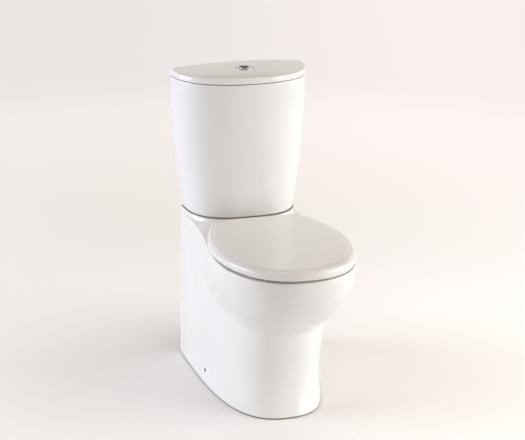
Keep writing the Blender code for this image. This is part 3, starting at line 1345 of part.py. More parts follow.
def make_floor_fixing(side, tag, steel):
    """Angle bracket on the floor inside the flank, its floor screw and the screw through the flank."""
    near, far = BRACKET_DISTANCE - BRACKET_LENGTH * HALF, BRACKET_DISTANCE + BRACKET_LENGTH * HALF
    wall = side * (column_half_width(far, BRACKET_HEIGHT) - CHINA - 2 * CLEAR)
    back = wall - side * BRACKET_THICKNESS
    bracket = add("floor_bracket_" + tag, block(at(wall, near, 0), at(back, far, BRACKET_HEIGHT)),
                  steel)
    foot = block(at(wall - side * CLEAR, near + CLEAR, 0),
                 at(wall - side * BRACKET_FOOT, far - CLEAR, BRACKET_THICKNESS))
    combine(bracket, add("bracket_foot_" + tag, foot), "UNION")
    spot = (BRACKET_DISTANCE, BRACKET_SCREW_HEIGHT)
    hole = drum(FLANK_SCREW_RADIUS + CLEAR, at(wall + side * OVERRUN, *spot),
                at(back - side * OVERRUN, *spot), "X")
    combine(bracket, add("bracket_hole_" + tag, hole))
    screw_x = wall - side * FLOOR_SCREW_INSET
    floor_hole = drum(FLOOR_SCREW_RADIUS + CLEAR, at(screw_x, BRACKET_DISTANCE, -OVERRUN),
                      at(screw_x, BRACKET_DISTANCE, BRACKET_THICKNESS + OVERRUN))
    combine(bracket, add("bracket_floor_hole_" + tag, floor_hole))

    head_base = BRACKET_THICKNESS + CLEAR
    screw = [
        (0, head_base + FLOOR_HEAD_HEIGHT),
        (FLOOR_HEAD_RADIUS, head_base + FLOOR_HEAD_HEIGHT * HALF),
        (FLOOR_HEAD_RADIUS, head_base),
        (FLOOR_SCREW_RADIUS, head_base),
        (FLOOR_SCREW_RADIUS, 0),
        (0, 0),
    ]
    turned("floor_screw_" + tag, screw, steel, None, at(screw_x, BRACKET_DISTANCE, 0))

    step = column_half_width(*spot) - FLANK_COUNTERBORE + CLEAR
    tail = abs(back) - FLANK_SCREW_TAIL - step
    flank = [
        (0, FLANK_HEAD_HEIGHT),
        (FLANK_HEAD_RADIUS * HALF, FLANK_HEAD_HEIGHT),
        (FLANK_HEAD_RADIUS, FLANK_HEAD_HEIGHT * HALF),
        (FLANK_HEAD_RADIUS, 0),
        (FLANK_SCREW_RADIUS, 0),
        (FLANK_SCREW_RADIUS, tail),
        (0, tail),
    ]
    item = turned("flank_screw_" + tag, flank, steel, None, at(side * step, *spot), "X")
    if side < 0:
        item.rotation_euler = Matrix.Rotation(-FULL_TURN / 4, 4, "Y").to_euler()


# Seat

def seat_half_width(distance, inset):
    """Half-width of the seat's outline: an ellipse-like front that tapers to a straight back."""
    if distance > SEAT_CENTRE:
        out = (distance - SEAT_CENTRE) / (PROJECTION - SEAT_CENTRE - inset)
        side, along = SEAT_SIDE_POWER, SEAT_FRONT_POWER
    else:
        out = (SEAT_CENTRE - distance) / SEAT_REAR
        side, along = SEAT_REAR_SIDE_POWER, SEAT_REAR_POWER
    return (SEAT_HALF_WIDTH - inset) * max(1 - out ** along, 0.0) ** (1 / side)


def seat_outline(inset, back, corner, steps=SEAT_STEPS):
    """Whole seat outline drawn in by an inset, from a back edge with rounded corners."""
    front = PROJECTION - inset
    right = []
    for index in range(steps + 1):
        distance = back + (front - back) * (1 - math.cos(math.pi * index / steps)) * HALF
        half_width = seat_half_width(distance, inset)
        past = corner - (distance - back)
        if past > 0:
            half_width -= corner - math.sqrt(corner ** 2 - past ** 2)
        right.append((half_width, distance))
    right[-1] = (0.0, front)
    return mirrored(right)


def seat_ring_level(inset, height):
    """Lid outline at a height, drawn in alike all round."""
    outline = seat_outline(inset, SEAT_BACK + inset, max(SEAT_CORNER - inset, CLEAR))
    return raised(outline, height)


def hinge_drum(radius, start, end):
    """Cylinder on the hinge axis between two places along it."""
    return drum(radius, at(start, HINGE_DISTANCE, HINGE_HEIGHT),
                at(end, HINGE_DISTANCE, HINGE_HEIGHT), "X")


def make_seat_lid(plastic, holder):
    """Wrap-over lid: a shallow shell with a broad rounded edge, and an ear at each hinge."""
    rings = [seat_ring_level(0.0, SEAT_BASE)]
    for index in range(ROUND_STEPS + 2):
        turn = math.pi * HALF * index / (ROUND_STEPS + 1)
        inset = SEAT_LID_EDGE * (1 - math.cos(turn))
        height = SEAT_TOP - SEAT_LID_EDGE * (1 - math.sin(turn))
        rings.append(seat_ring_level(inset, height))
    lid = add("seat_lid", skin(rings), plastic, holder, holder.location)
    shoulder = SEAT_LID_EDGE * HALF
    hollow = skin([
        seat_ring_level(SEAT_LID_SHELL, SEAT_BASE - OVERRUN),
        seat_ring_level(SEAT_LID_SHELL, SEAT_CEILING - shoulder),
        seat_ring_level(SEAT_LID_SHELL + shoulder * HALF, SEAT_CEILING - shoulder / 4),
        seat_ring_level(SEAT_LID_SHELL + shoulder, SEAT_CEILING),
    ])
    combine(lid, add("seat_lid_hollow", hollow))
    for side, tag in ((-1, "left"), (1, "right")):
        start = side * (HINGE_X + POST_BARREL * HALF + EAR_GAP)
        end = start + side * LID_EAR_WIDTH
        combine(lid, add("lid_barrel_" + tag, hinge_drum(BARREL_RADIUS, start, end)), "UNION")
        web = block(
            at(start + side * CLEAR, HINGE_DISTANCE - BARREL_RADIUS * HALF, HINGE_HEIGHT),
            at(end - side * CLEAR, HINGE_DISTANCE + BARREL_RADIUS * HALF,
               SEAT_CEILING + SEAT_LID_SHELL * HALF),
        )
        combine(lid, add("lid_web_" + tag, web), "UNION")
        combine(lid, add("lid_pin_hole_" + tag, hinge_drum(
            PIN_RADIUS + CLEAR, start - side * OVERRUN, end + side * OVERRUN)))
        notch = block(
            at(side * (HINGE_X - NOTCH_HALF_WIDTH), SEAT_BACK - OVERRUN, SEAT_BASE - OVERRUN),
            at(side * (HINGE_X + NOTCH_HALF_WIDTH), SEAT_BACK + NOTCH_DEPTH,
               HINGE_HEIGHT + NOTCH_RISE),
        )
        combine(lid, add("lid_notch_" + tag, notch))
    return lid


def make_seat_ring(plastic, holder):
    """Ring whose section falls gently from a rounded outer edge to a rounded opening."""
    back = SEAT_BACK + RING_BACK
    outer = seat_outline(RING_INSET, back, RING_CORNER)
    inner = []
    count = len(outer)
    for index in range(count):
        turn = -FULL_TURN / 4 + FULL_TURN * index / count
        across, out = math.cos(turn), math.sin(turn)
        reach = RING_OPENING_FRONT if out > 0 else RING_OPENING_REAR
        x = math.copysign(RING_OPENING_HALF_WIDTH * abs(across) ** (2 / BASIN_POWER), across)
        distance = math.copysign(reach * abs(out) ** (2 / BASIN_POWER), out)
        inner.append((x, BASIN_CENTRE + distance))
    rings = []
    for share, rise in RING_SECTION_SHARES:
        ring = []
        for (x0, d0), (x1, d1) in zip(outer, inner):
            ring.append(at(x0 + (x1 - x0) * share, d0 + (d1 - d0) * share,
                           SEAT_BASE + RING_THICKNESS * rise))
        rings.append(ring)
    seat = add("seat_ring", looped_skin(rings), plastic, holder, holder.location)
    for side, tag in ((-1, "left"), (1, "right")):
        end = side * (HINGE_X - POST_BARREL * HALF - EAR_GAP)
        start = end - side * RING_EAR_WIDTH
        combine(seat, add("ring_barrel_" + tag, hinge_drum(BARREL_RADIUS, start, end)), "UNION")
        web = block(
            at(start + side * CLEAR, HINGE_DISTANCE, HINGE_HEIGHT - BARREL_RADIUS * HALF),
            at(end - side * CLEAR, back + RING_CORNER, HINGE_HEIGHT + BARREL_RADIUS * HALF),
        )
        combine(seat, add("ring_web_" + tag, web), "UNION")
        combine(seat, add("ring_pin_hole_" + tag, hinge_drum(
            PIN_RADIUS + CLEAR, start - side * OVERRUN, end + side * OVERRUN)))
    return seat


def make_hinge(side, tag, chrome, rubber, plastic):
    """Post on the deck with its pin, and the stud, washer and wing nut that clamp it."""
    x = side * HINGE_X
    start, end = x - POST_BARREL * HALF, x + POST_BARREL * HALF
    post = add("hinge_post_" + tag, hinge_drum(BARREL_RADIUS, start, end), chrome)
    neck = block(
        at(start + CLEAR, STUD_DISTANCE - POST_NECK * HALF, POST_BASE + POST_FLANGE_HEIGHT * HALF),
        at(end - CLEAR, STUD_DISTANCE + POST_NECK * HALF, HINGE_HEIGHT - CLEAR),
    )
    combine(post, add("post_neck_" + tag, neck), "UNION")
    flange = drum(
        POST_FLANGE_RADIUS, at(x, STUD_DISTANCE, POST_BASE),
        at(x, STUD_DISTANCE, POST_BASE + POST_FLANGE_HEIGHT),
    )
    combine(post, add("post_flange_" + tag, flange), "UNION")
    combine(post, add("post_pin_hole_" + tag, hinge_drum(
        PIN_RADIUS + CLEAR, start - OVERRUN, end + OVERRUN)))
    stud_top = HINGE_HEIGHT - PIN_RADIUS - STUD_TOP_CLEARANCE
    socket = drum(STUD_RADIUS + CLEAR, at(x, STUD_DISTANCE, POST_BASE - OVERRUN),
                  at(x, STUD_DISTANCE, stud_top + CLEAR))
    combine(post, add("post_socket_" + tag, socket))

    pin_in = x - side * (POST_BARREL * HALF + EAR_GAP + RING_EAR_WIDTH)
    pin_out = x + side * (POST_BARREL * HALF + EAR_GAP + LID_EAR_WIDTH)
    add("hinge_pin_" + tag, hinge_drum(PIN_RADIUS, pin_in, pin_out), chrome, None,
        at(x, HINGE_DISTANCE, HINGE_HEIGHT))
    stud = drum(STUD_RADIUS, at(x, STUD_DISTANCE, DECK_UNDERSIDE - STUD_TAIL),
                at(x, STUD_DISTANCE, stud_top))
    add("hinge_stud_" + tag, stud, chrome, None, at(x, STUD_DISTANCE, POST_BASE))
    washer = band(STUD_RADIUS + CLEAR, POST_FLANGE_RADIUS, CLEAR, CLEAR + SEAT_WASHER_HEIGHT)
    turned("hinge_washer_" + tag, washer, rubber, None, at(x, STUD_DISTANCE, RIM_HEIGHT),
           ring=True)
    make_wing_nut("hinge_wing_nut_" + tag, x, STUD_DISTANCE, DECK_UNDERSIDE - CLEAR,
                  STUD_RADIUS + CLEAR, plastic)


def make_buffer(name, x, distance, radius, low, high, rubber, holder):
    """Soft foot with a rounded edge, fixed under the ring or the lid."""
    edge = (high - low) / 4
    profile = [
        (0, high - low),
        (radius, high - low),
        (radius, edge),
        (radius - edge, 0),
        (0, 0),
    ]
    turned(name, profile, rubber, holder, at(x, distance, low))


def make_seat(white, chrome, rubber, plastic):
    """Ring, lid, buffers and hinges."""
    axis = at(0, HINGE_DISTANCE, HINGE_HEIGHT)
    ring_holder = empty("seat_ring_axis", axis)
    lid_holder = empty("seat_lid_axis", axis)
    make_seat_lid(white, lid_holder)
    make_seat_ring(white, ring_holder)
    for side, tag in ((-1, "left"), (1, "right")):
        make_hinge(side, tag, chrome, rubber, plastic)
        for spot, x, distance in (
            ("front", BUFFER_FRONT_X, BUFFER_FRONT_DISTANCE),
            ("rear", BUFFER_REAR_X, BUFFER_REAR_DISTANCE),
        ):
            make_buffer("ring_buffer_" + spot + "_" + tag, side * x, distance, BUFFER_RADIUS,
                        RIM_HEIGHT + CLEAR, SEAT_BASE - CLEAR, rubber, ring_holder)
        make_buffer("lid_buffer_" + tag, side * LID_BUFFER_X, LID_BUFFER_DISTANCE,
                    LID_BUFFER_RADIUS, RING_TOP + CLEAR, SEAT_CEILING - CLEAR, rubber, lid_holder)


def main():
    """Clear the scene and build every piece."""
    for item in list(bpy.data.objects):
        bpy.data.objects.remove(item, do_unlink=True)
    bpy.context.scene.collection.children.link(PARTS)
    bpy.context.scene.collection.children.link(CUTTERS)

    china = finish("vitreous_china", (0.86, 0.85, 0.83), 0.08)
    white = finish("seat_plastic", (0.87, 0.86, 0.85), 0.14)
    chrome = finish("chrome", (0.80, 0.81, 0.82), 0.07, 1.0)
    plastic = finish("valve_plastic", (0.82, 0.82, 0.80), 0.35)
    tinted = finish("tinted_plastic", (0.20, 0.36, 0.55), 0.40)
    rubber = finish("rubber", (0.06, 0.06, 0.06), 0.65)
    soft = finish("buffer_rubber", (0.72, 0.71, 0.68), 0.50)
    brass = finish("brass", (0.72, 0.56, 0.28), 0.30, 1.0)
    steel = finish("zinc_steel", (0.58, 0.59, 0.60), 0.35, 1.0)

    make_pan(china)
    make_bowl(china)
    make_trapway(china)
    make_cistern(china)
    lid_holder = empty("cistern_lid_lift", at(0, BUTTON_DISTANCE, LID_BASE))
    make_cistern_lid(china, lid_holder)
    make_buttons(chrome, plastic, lid_holder)
    make_flush_valve(plastic, rubber, tinted)
    make_fill_valve(plastic, rubber, tinted, brass)
    make_seat(white, chrome, soft, plastic)
    for side, tag in ((-1, "left"), (1, "right")):
        make_coupling(side, tag, brass, rubber, plastic)
        make_floor_fixing(side, tag, steel)


main()
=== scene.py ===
"""Smooth shapes, finishes, light and camera for a close-coupled toilet that stands back to the wall.

Metres, +Z up. X runs to the right, seen from the front. Places in plan are an x and a distance
from the wall plane at the back.
"""
import json
import math

import bpy
import numpy as np
from bpy.props import FloatProperty, FloatVectorProperty, PointerProperty
from mathutils import Matrix, Vector


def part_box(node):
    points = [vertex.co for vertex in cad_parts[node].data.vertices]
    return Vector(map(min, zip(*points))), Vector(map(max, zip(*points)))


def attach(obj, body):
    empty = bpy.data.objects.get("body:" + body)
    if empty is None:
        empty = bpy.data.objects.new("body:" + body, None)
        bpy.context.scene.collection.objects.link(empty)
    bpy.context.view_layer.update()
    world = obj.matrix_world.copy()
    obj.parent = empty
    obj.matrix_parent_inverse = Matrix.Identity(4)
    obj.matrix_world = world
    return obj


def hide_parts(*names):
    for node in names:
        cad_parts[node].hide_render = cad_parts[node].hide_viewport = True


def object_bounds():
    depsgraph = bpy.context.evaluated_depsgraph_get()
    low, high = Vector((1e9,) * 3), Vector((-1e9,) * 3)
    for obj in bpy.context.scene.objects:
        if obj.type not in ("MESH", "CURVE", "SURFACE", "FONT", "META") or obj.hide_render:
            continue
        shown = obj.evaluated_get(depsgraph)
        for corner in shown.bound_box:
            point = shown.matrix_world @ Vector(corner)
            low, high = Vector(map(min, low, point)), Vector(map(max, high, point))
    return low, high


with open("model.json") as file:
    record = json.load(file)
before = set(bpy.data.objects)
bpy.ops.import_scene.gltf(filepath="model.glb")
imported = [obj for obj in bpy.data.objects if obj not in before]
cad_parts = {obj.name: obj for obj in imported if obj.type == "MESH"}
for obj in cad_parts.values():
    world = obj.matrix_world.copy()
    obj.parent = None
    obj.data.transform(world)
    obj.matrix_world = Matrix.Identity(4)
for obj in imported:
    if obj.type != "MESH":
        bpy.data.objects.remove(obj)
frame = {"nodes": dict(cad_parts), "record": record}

bl_info = {
    "name": "Close-coupled toilet dressing",
    "version": (1, 0, 0),
    "blender": (4, 5, 0),
    "location": "3D View > Sidebar > Toilet",
    "description": "Builds the smooth china, seat and fittings of a close-coupled toilet",
    "category": "Object",
}

CAD_BOX = [list(corner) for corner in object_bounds()]
WALL_Y = CAD_BOX[1][1]
PROJECTION = CAD_BOX[1][1] - CAD_BOX[0][1]
TURN = 2 * math.pi

# Pan, as its solid has it
RIM_HEIGHT = 0.4155
COLUMN_HALF_WIDTH = 0.1498
COLUMN_DEPTH = 0.48640
COLUMN_SIDE_POWER = 2.6
COLUMN_FRONT_POWER = 3.67
WAIST = 0.021
WAIST_TOP = 0.236
WAIST_LEAN = 0.62
BOWL_TOP = 0.413
BOWL_DROP = 0.2487
BOWL_HALF_WIDTH = 0.1747
BOWL_CENTRE = 0.4094
BOWL_FRONT = 0.2000
BOWL_REAR = 0.3400
BOWL_DRIFT = 0.0907
BOWL_SIDE_POWER = 2.38
BOWL_FRONT_POWER = 2.18
BOWL_REAR_SIDE_POWER = 1.2
BOWL_REAR_POWER = 1.66
BOWL_DROP_POWER = 2.08
BOWL_SHRINK_POWER = 0.808
CORE = 0.300
CHINA = 0.012
BASIN_CENTRE = 0.385
BASIN_POWER = 2.1
OPENING = (0.1250, 0.1780, 0.1350)
CHANNEL = (0.1480, 0.2015, 0.1500)
SUMP = (0.0350, 0.0400, 0.0400)
SUMP_CENTRE = 0.345
SUMP_HEIGHT = 0.112
RIM_ROOF = 0.014
LIP_DROP = 0.045
LIP_THICKNESS = 0.008
PLINTH_HEIGHT = 0.4280
HOLLOW_TOP = 0.360
DECK_UNDERSIDE = 0.3995
CLEAR = 0.0003

# Cistern and lid
CISTERN_BASE = 0.4283
CISTERN_TOP = 0.7898
CISTERN_FLOOR = 0.012
CISTERN_WALL = 0.010
CISTERN_SIZES = (0.1813, 0.1500, 2.39, 2.42)
CISTERN_FOOT_SIZES = (0.1480, 0.1467, 2.85, 2.92)
CISTERN_TAPER_POWER = 2.1
BUTTON_DISTANCE = 0.068
FILL_X = -0.108
FILL_DISTANCE = 0.066
COUPLING_X = 0.070

# Seat and hinges
SEAT_HALF_WIDTH = 0.1786
SEAT_CENTRE = 0.3757
SEAT_BACK = 0.2010
SEAT_REAR = 0.3410
SEAT_BASE = 0.4229
SEAT_TOP = 0.4495
SEAT_SHELL = 0.004
HINGE_DISTANCE = 0.2145
HINGE_HEIGHT = 0.4355
HINGE_X = 0.0775
STUD_DISTANCE = 0.2165


# Grids and meshes

def at(x, distance, height):
    """Points from an x, a distance out from the wall and a height, as one array."""
    x, distance, height = np.broadcast_arrays(x, distance, height)
    return np.stack([x, WALL_Y - distance, height], axis=-1).astype(float)


def ring_faces(rows, columns, loop_rows=False):
    """Quads of a grid whose rows are closed rings, and whose rows may close on each other too."""
    last = rows if loop_rows else rows - 1
    row = np.arange(last)[:, None]
    column = np.arange(columns)[None, :]
    after = (column + 1) % columns
    above = (row + 1) % rows
    quads = np.stack([row * columns + column, row * columns + after,
                      above * columns + after, above * columns + column], axis=-1)
    return quads.reshape(-1, 4).tolist()


def tidy_mesh(mesh, merge=1e-6):
    """Merge doubles, drop what has no size, and point every face outwards."""
    import bmesh

    shape = bmesh.new()
    shape.from_mesh(mesh)
    bmesh.ops.remove_doubles(shape, verts=shape.verts, dist=merge)
    bmesh.ops.dissolve_degenerate(shape, edges=shape.edges, dist=merge)
    bmesh.ops.recalc_face_normals(shape, faces=shape.faces)
    shape.to_mesh(mesh)
    shape.free()


def new_object(name, points, faces):
    """Object at the origin from an array of points and a list of faces."""
    mesh = bpy.data.meshes.new(name)
    mesh.from_pydata(points.reshape(-1, 3), [], faces)
    tidy_mesh(mesh)
    item = bpy.data.objects.new(name, mesh)
    bpy.context.scene.collection.objects.link(item)
    return item


def loft(name, rings, ends=True, loop=False):
    """Closed body through rings of equal count: quads between them and a face on each end."""
    rows, columns = rings.shape[:2]
    faces = ring_faces(rows, columns, loop)
    if ends and not loop:
        faces.append(list(range(columns)))
        faces.append(list(range((rows - 1) * columns, rows * columns)))
    return new_object(name, rings, faces)


def lathe(name, profile, centre, axis="Z", sides=64, loop=False):
    """Body of revolution: radius and height of a profile, turned through whole circles."""
    profile = np.asarray(profile, float)
    turn = np.linspace(0, TURN, sides, endpoint=False)[None, :]
    radius, height = profile[:, 0, None], profile[:, 1, None]
    first, second = radius * np.cos(turn), radius * np.sin(turn)
    along = height + 0 * turn
    if axis == "X":
        points = np.stack([along, first, second], axis=-1)
    elif axis == "Y":
        points = np.stack([second, -along, first], axis=-1)
    else:
        points = np.stack([first, second, along], axis=-1)
    return loft(name, points + at(*centre), not loop, loop)


def rounded(corners, radii, steps=6, closed=False):
    """Profile through corners, each replaced by an arc tangent to both of its sides."""
    corners = [np.array(corner, float) for corner in corners]
    count = len(corners)
    points = []
    for index, (corner, radius) in enumerate(zip(corners, radii)):
        if radius <= 0 or (not closed and index in (0, count - 1)):
            points.append(corner[None, :])
            continue
        before = corners[index - 1] - corner
        after = corners[(index + 1) % count] - corner
        before, after = before / np.linalg.norm(before), after / np.linalg.norm(after)
        opening = math.acos(float(np.clip(before @ after, -1, 1)))
        reach = radius / math.tan(opening / 2)
        middle = (before + after) / np.linalg.norm(before + after)
        centre = corner + middle * radius / math.sin(opening / 2)
        start, end = corner + before * reach - centre, corner + after * reach - centre
        share = np.linspace(0, 1, steps + 1)[:, None]
        sweep = math.pi - opening
        arc = (np.sin((1 - share) * sweep) * start + np.sin(share * sweep) * end) / math.sin(sweep)
        points.append(centre + arc)
    return np.concatenate(points)


def box_body(name, low, high, bevel=0.0):
    """Block between two corners, each face a small grid, with its edges bevelled."""
    low, high = np.array(low, float), np.array(high, float)
    low, high = np.minimum(low, high), np.maximum(low, high)
    section = rounded(
        [(low[0], low[1]), (high[0], low[1]), (high[0], high[1]), (low[0], high[1])],
        [bevel] * 4, 4, closed=True,
    ) if bevel > 0 else np.array([(low[0], low[1]), (high[0], low[1]), (high[0], high[1]),
                                  (low[0], high[1])])
    middle = (low[:2] + high[:2]) / 2
    rise = np.array([[low[2], -bevel], [low[2] + bevel * 0.3, -bevel * 0.3], [low[2] + bevel, 0],
                     [high[2] - bevel, 0], [high[2] - bevel * 0.3, -bevel * 0.3],
                     [high[2], -bevel]]) if bevel > 0 else np.array([[low[2], 0], [high[2], 0]])
    spread = (high[:2] - low[:2]) / 2
    scale = 1 + rise[:, 1, None, None] / spread
    plan = middle + (section - middle)[None] * scale
    height = np.broadcast_to(rise[:, 0, None, None], plan.shape[:2] + (1,))
    return loft(name, np.concatenate([plan, height], axis=-1))


def merge_objects(name, items):
    """One object from several that don't touch."""
    points, faces, start = [], [], 0
    for item in items:
        mesh = item.data
        flat = np.empty(len(mesh.vertices) * 3, np.float32)
        mesh.vertices.foreach_get("co", flat)
        points.append(flat.reshape(-1, 3))
        faces += [[v + start for v in face.vertices] for face in mesh.polygons]
        start += len(mesh.vertices)
        bpy.data.objects.remove(item)
    return new_object(name, np.concatenate(points), faces)


def join_and_cut(item, steps):
    """Join tools on or cut them out in turn, keep the result as a plain mesh and drop the tools.

    Stops the script when the result is empty or an edge of it lacks its two faces.
    """
    for operation, tool in steps:
        change = item.modifiers.new(tool.name, "BOOLEAN")
        change.operation = operation
        change.object = tool
        change.solver = "EXACT"
    bpy.context.view_layer.update()
    graph = bpy.context.evaluated_depsgraph_get()
    mesh = bpy.data.meshes.new_from_object(item.evaluated_get(graph))
    item.modifiers.clear()
    item.data = mesh
    for _, tool in steps:
        bpy.data.objects.remove(tool)
    tidy_mesh(mesh, 2e-6)
    edges = np.zeros(len(mesh.loops), int)
    mesh.loops.foreach_get("edge_index", edges)
    if not edges.size or (np.bincount(edges, minlength=len(mesh.edges)) != 2).any():
        raise RuntimeError(item.name + " came out of its cuts empty or open")
    return item


def dress(item, finish, body, nodes, sharp=32):
    """Shade an object smooth, give it its finish and body, and let it stand for its solids."""
    mesh = item.data
    mesh.materials.clear()
    mesh.materials.append(finish)
    mesh.shade_smooth()
    mesh.set_sharp_from_angle(angle=math.radians(sharp))
    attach(item, body)
    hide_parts(*nodes)
    return item


# Outlines

def d_outline(half_width, depth, side_power, front_power, back=0.0, corner=0.0, steps=120):
    """Half superellipse from the right back corner round the front, with rounded back corners.

    x = half width * cos(turn) ** (2 / side power) and out = depth * sin(turn) ** (2 / front
    power), with the turns closer together at both ends; x is drawn in by a corner's arc there.
    """
    half_width, depth, side_power, front_power, back, corner = (
        np.atleast_1d(np.asarray(v, float))[:, None]
        for v in (half_width, depth, side_power, front_power, back, corner)
    )
    share = np.linspace(0, 1, steps + 1)[None, :]
    turn = math.pi * (share - 0.93 * np.sin(TURN * share) / TURN)
    across, out = np.cos(turn), np.clip(np.sin(turn), 0, None)
    out[:, 0] = out[:, -1] = 0
    x = np.sign(across) * half_width * np.abs(across) ** (2 / side_power)
    distance = depth * out ** (2 / front_power)
    past = np.clip(corner - distance, 0, None)
    x = x - np.sign(across) * (corner - np.sqrt(np.clip(corner ** 2 - past ** 2, 0, None)))
    return x, back + distance


def egg_outline(sizes, grow, centre, steps=96):
    """Superellipse with its own half-width, front and rear, grown by a width.

    x = half width * cos(turn) ** (2 / power), and out = front or rear * sin(turn) ** (2 / power).
    """
    half_width, front, rear = (np.atleast_1d(v)[:, None] for v in sizes)
    grow, centre = np.atleast_1d(grow)[:, None], np.atleast_1d(centre)[:, None]
    turn = np.linspace(0, TURN, steps, endpoint=False)[None, :]
    across, out = np.cos(turn), np.sin(turn)
    x = np.sign(across) * (half_width + grow) * np.abs(across) ** (2 / BASIN_POWER)
    reach = np.where(out > 0, front + grow, rear + grow)
    return x, centre + np.sign(out) * reach * np.abs(out) ** (2 / BASIN_POWER)


def column_reach(height):
    """Distance of the column's front: its depth less a waist of sin(pi * share ** lean) ** 2."""
    share = np.clip(height / WAIST_TOP, 0, 1)
    return COLUMN_DEPTH - WAIST * np.sin(math.pi * share ** WAIST_LEAN) ** 2


def bowl_share(height):
    """Size of the bowl's outline at a height, as a share of that at its rim."""
    drop = np.clip((BOWL_TOP - height) / BOWL_DROP, 0, 1)
    return (1 - drop ** BOWL_DROP_POWER) ** BOWL_SHRINK_POWER


def column_depth_inside(x, distance, height, inset):
    """Superellipse of the column at a height: below zero inside it."""
    side = (np.abs(x) / (COLUMN_HALF_WIDTH - inset)) ** COLUMN_SIDE_POWER
    return side + (np.abs(distance) / (column_reach(height) - inset)) ** COLUMN_FRONT_POWER - 1


def bowl_depth_inside(x, distance, height, inset):
    """Superellipse of the bowl at a height, with its own powers front and rear."""
    share = bowl_share(height)
    half_width = np.maximum(BOWL_HALF_WIDTH * share - inset, 1e-6)
    away = distance - BOWL_CENTRE + BOWL_DRIFT * (1 - share)
    ahead = away > 0
    side = np.where(ahead, BOWL_SIDE_POWER, BOWL_REAR_SIDE_POWER)
    along = np.where(ahead, BOWL_FRONT_POWER, BOWL_REAR_POWER)
    reach = np.where(ahead, np.maximum(BOWL_FRONT * share - inset, 1e-6), BOWL_REAR * share + 1e-6)
    depth = (np.abs(x) / half_width) ** side + (np.abs(away) / reach) ** along - 1
    return np.where(half_width <= np.maximum(inset, 1e-5), 1.0, depth)


def ray_lengths(shape, across, out, height, inset):
    """How far rays from the pan's core run before they leave a shape for good, by halving."""
    steps = 48
    share = 1 - np.arange(steps) / steps
    reach = PROJECTION * share[:, None, None]
    inside = shape(reach * across, CORE + reach * out, height[None], inset[None]) <= 0
    hit = inside.any(axis=0)
    near = PROJECTION * share[inside.argmax(axis=0)]
    far = near + PROJECTION / steps
    for _ in range(26):
        middle = (near + far) / 2
        deep = shape(middle * across, CORE + middle * out, height, inset) <= 0
        near, far = np.where(deep, middle, near), np.where(deep, far, middle)
    return np.where(hit, near, 0.0)


def pan_rings(heights, insets, blend, steps=110):
    """Pan outlines: at each angle the longer of two rays, with their meeting filled by a blend.

    reach = max(column, bowl) + (1 - |column - bowl| / blend) ** 2 * blend / 4 where they are near,
    then each reach is averaged with its neighbours by the weights 1, 2, 3, 2, 1.
    """
    height, inset, blend = (np.asarray(v, float)[:, None] for v in (heights, insets, blend))
    start = math.atan2(-CORE, COLUMN_HALF_WIDTH)
    angle = (start + (math.pi / 2 - start) * np.arange(1, steps + 1) / steps)[None, :]
    across, out = np.cos(angle), np.sin(angle)
    column = ray_lengths(column_depth_inside, across, out, height, inset)
    bowl = ray_lengths(bowl_depth_inside, across, out, height, inset)
    overlap = np.clip(blend - np.abs(column - bowl), 0, None) / blend
    reach = np.maximum(column, bowl) + overlap ** 2 * blend / 4
    for _ in range(3):
        wide = np.concatenate([2 * reach[:, :1] - reach[:, 2:0:-1], reach, reach[:, -2:-4:-1]],
                              axis=1)
        reach = sum(share * wide[:, first:first + steps]
                    for first, share in enumerate(np.array([1, 2, 3, 2, 1]) / 9))
    x = np.concatenate([COLUMN_HALF_WIDTH - inset, reach * across], axis=1)
    distance = np.concatenate([0 * inset, CORE + reach * out], axis=1)
    x[:, -1] = 0
    x = np.concatenate([x, -x[:, -2::-1]], axis=1)
    distance = np.concatenate([distance, distance[:, -2::-1]], axis=1)
    return at(x, distance, height)


# Shader building

class Wire:
    """A shader socket that takes part in Python sums; each sum on values adds a Math node."""

    def __init__(self, finish, socket):
        self.finish = finish
        self.socket = socket

    def math(self, operation, *others, clamp=False):
        values = {index: value for index, value in enumerate((self,) + others)}
        return self.finish.node("ShaderNodeMath", values, operation=operation, use_clamp=clamp)

    def reverse(self, operation, other):
        return self.finish.node("ShaderNodeMath", {0: other, 1: self}, operation=operation)

    def __add__(self, other):
        return self.math("ADD", other)

    def __sub__(self, other):
        return self.math("SUBTRACT", other)

    def __mul__(self, other):
        return self.math("MULTIPLY", other)

    def __truediv__(self, other):
        return self.math("DIVIDE", other)

    def __pow__(self, other):
        return self.math("POWER", other)

    def __radd__(self, other):
        return self.reverse("ADD", other)

    def __rsub__(self, other):
        return self.reverse("SUBTRACT", other)

    def __rmul__(self, other):
        return self.reverse("MULTIPLY", other)

    def smooth(self, low, high):
        """0 below low, 1 above high and a smooth step between them."""
        return self.finish.node("ShaderNodeMapRange", {"Value": self, "From Min": low,
                                                       "From Max": high},
                                interpolation_type="SMOOTHSTEP")


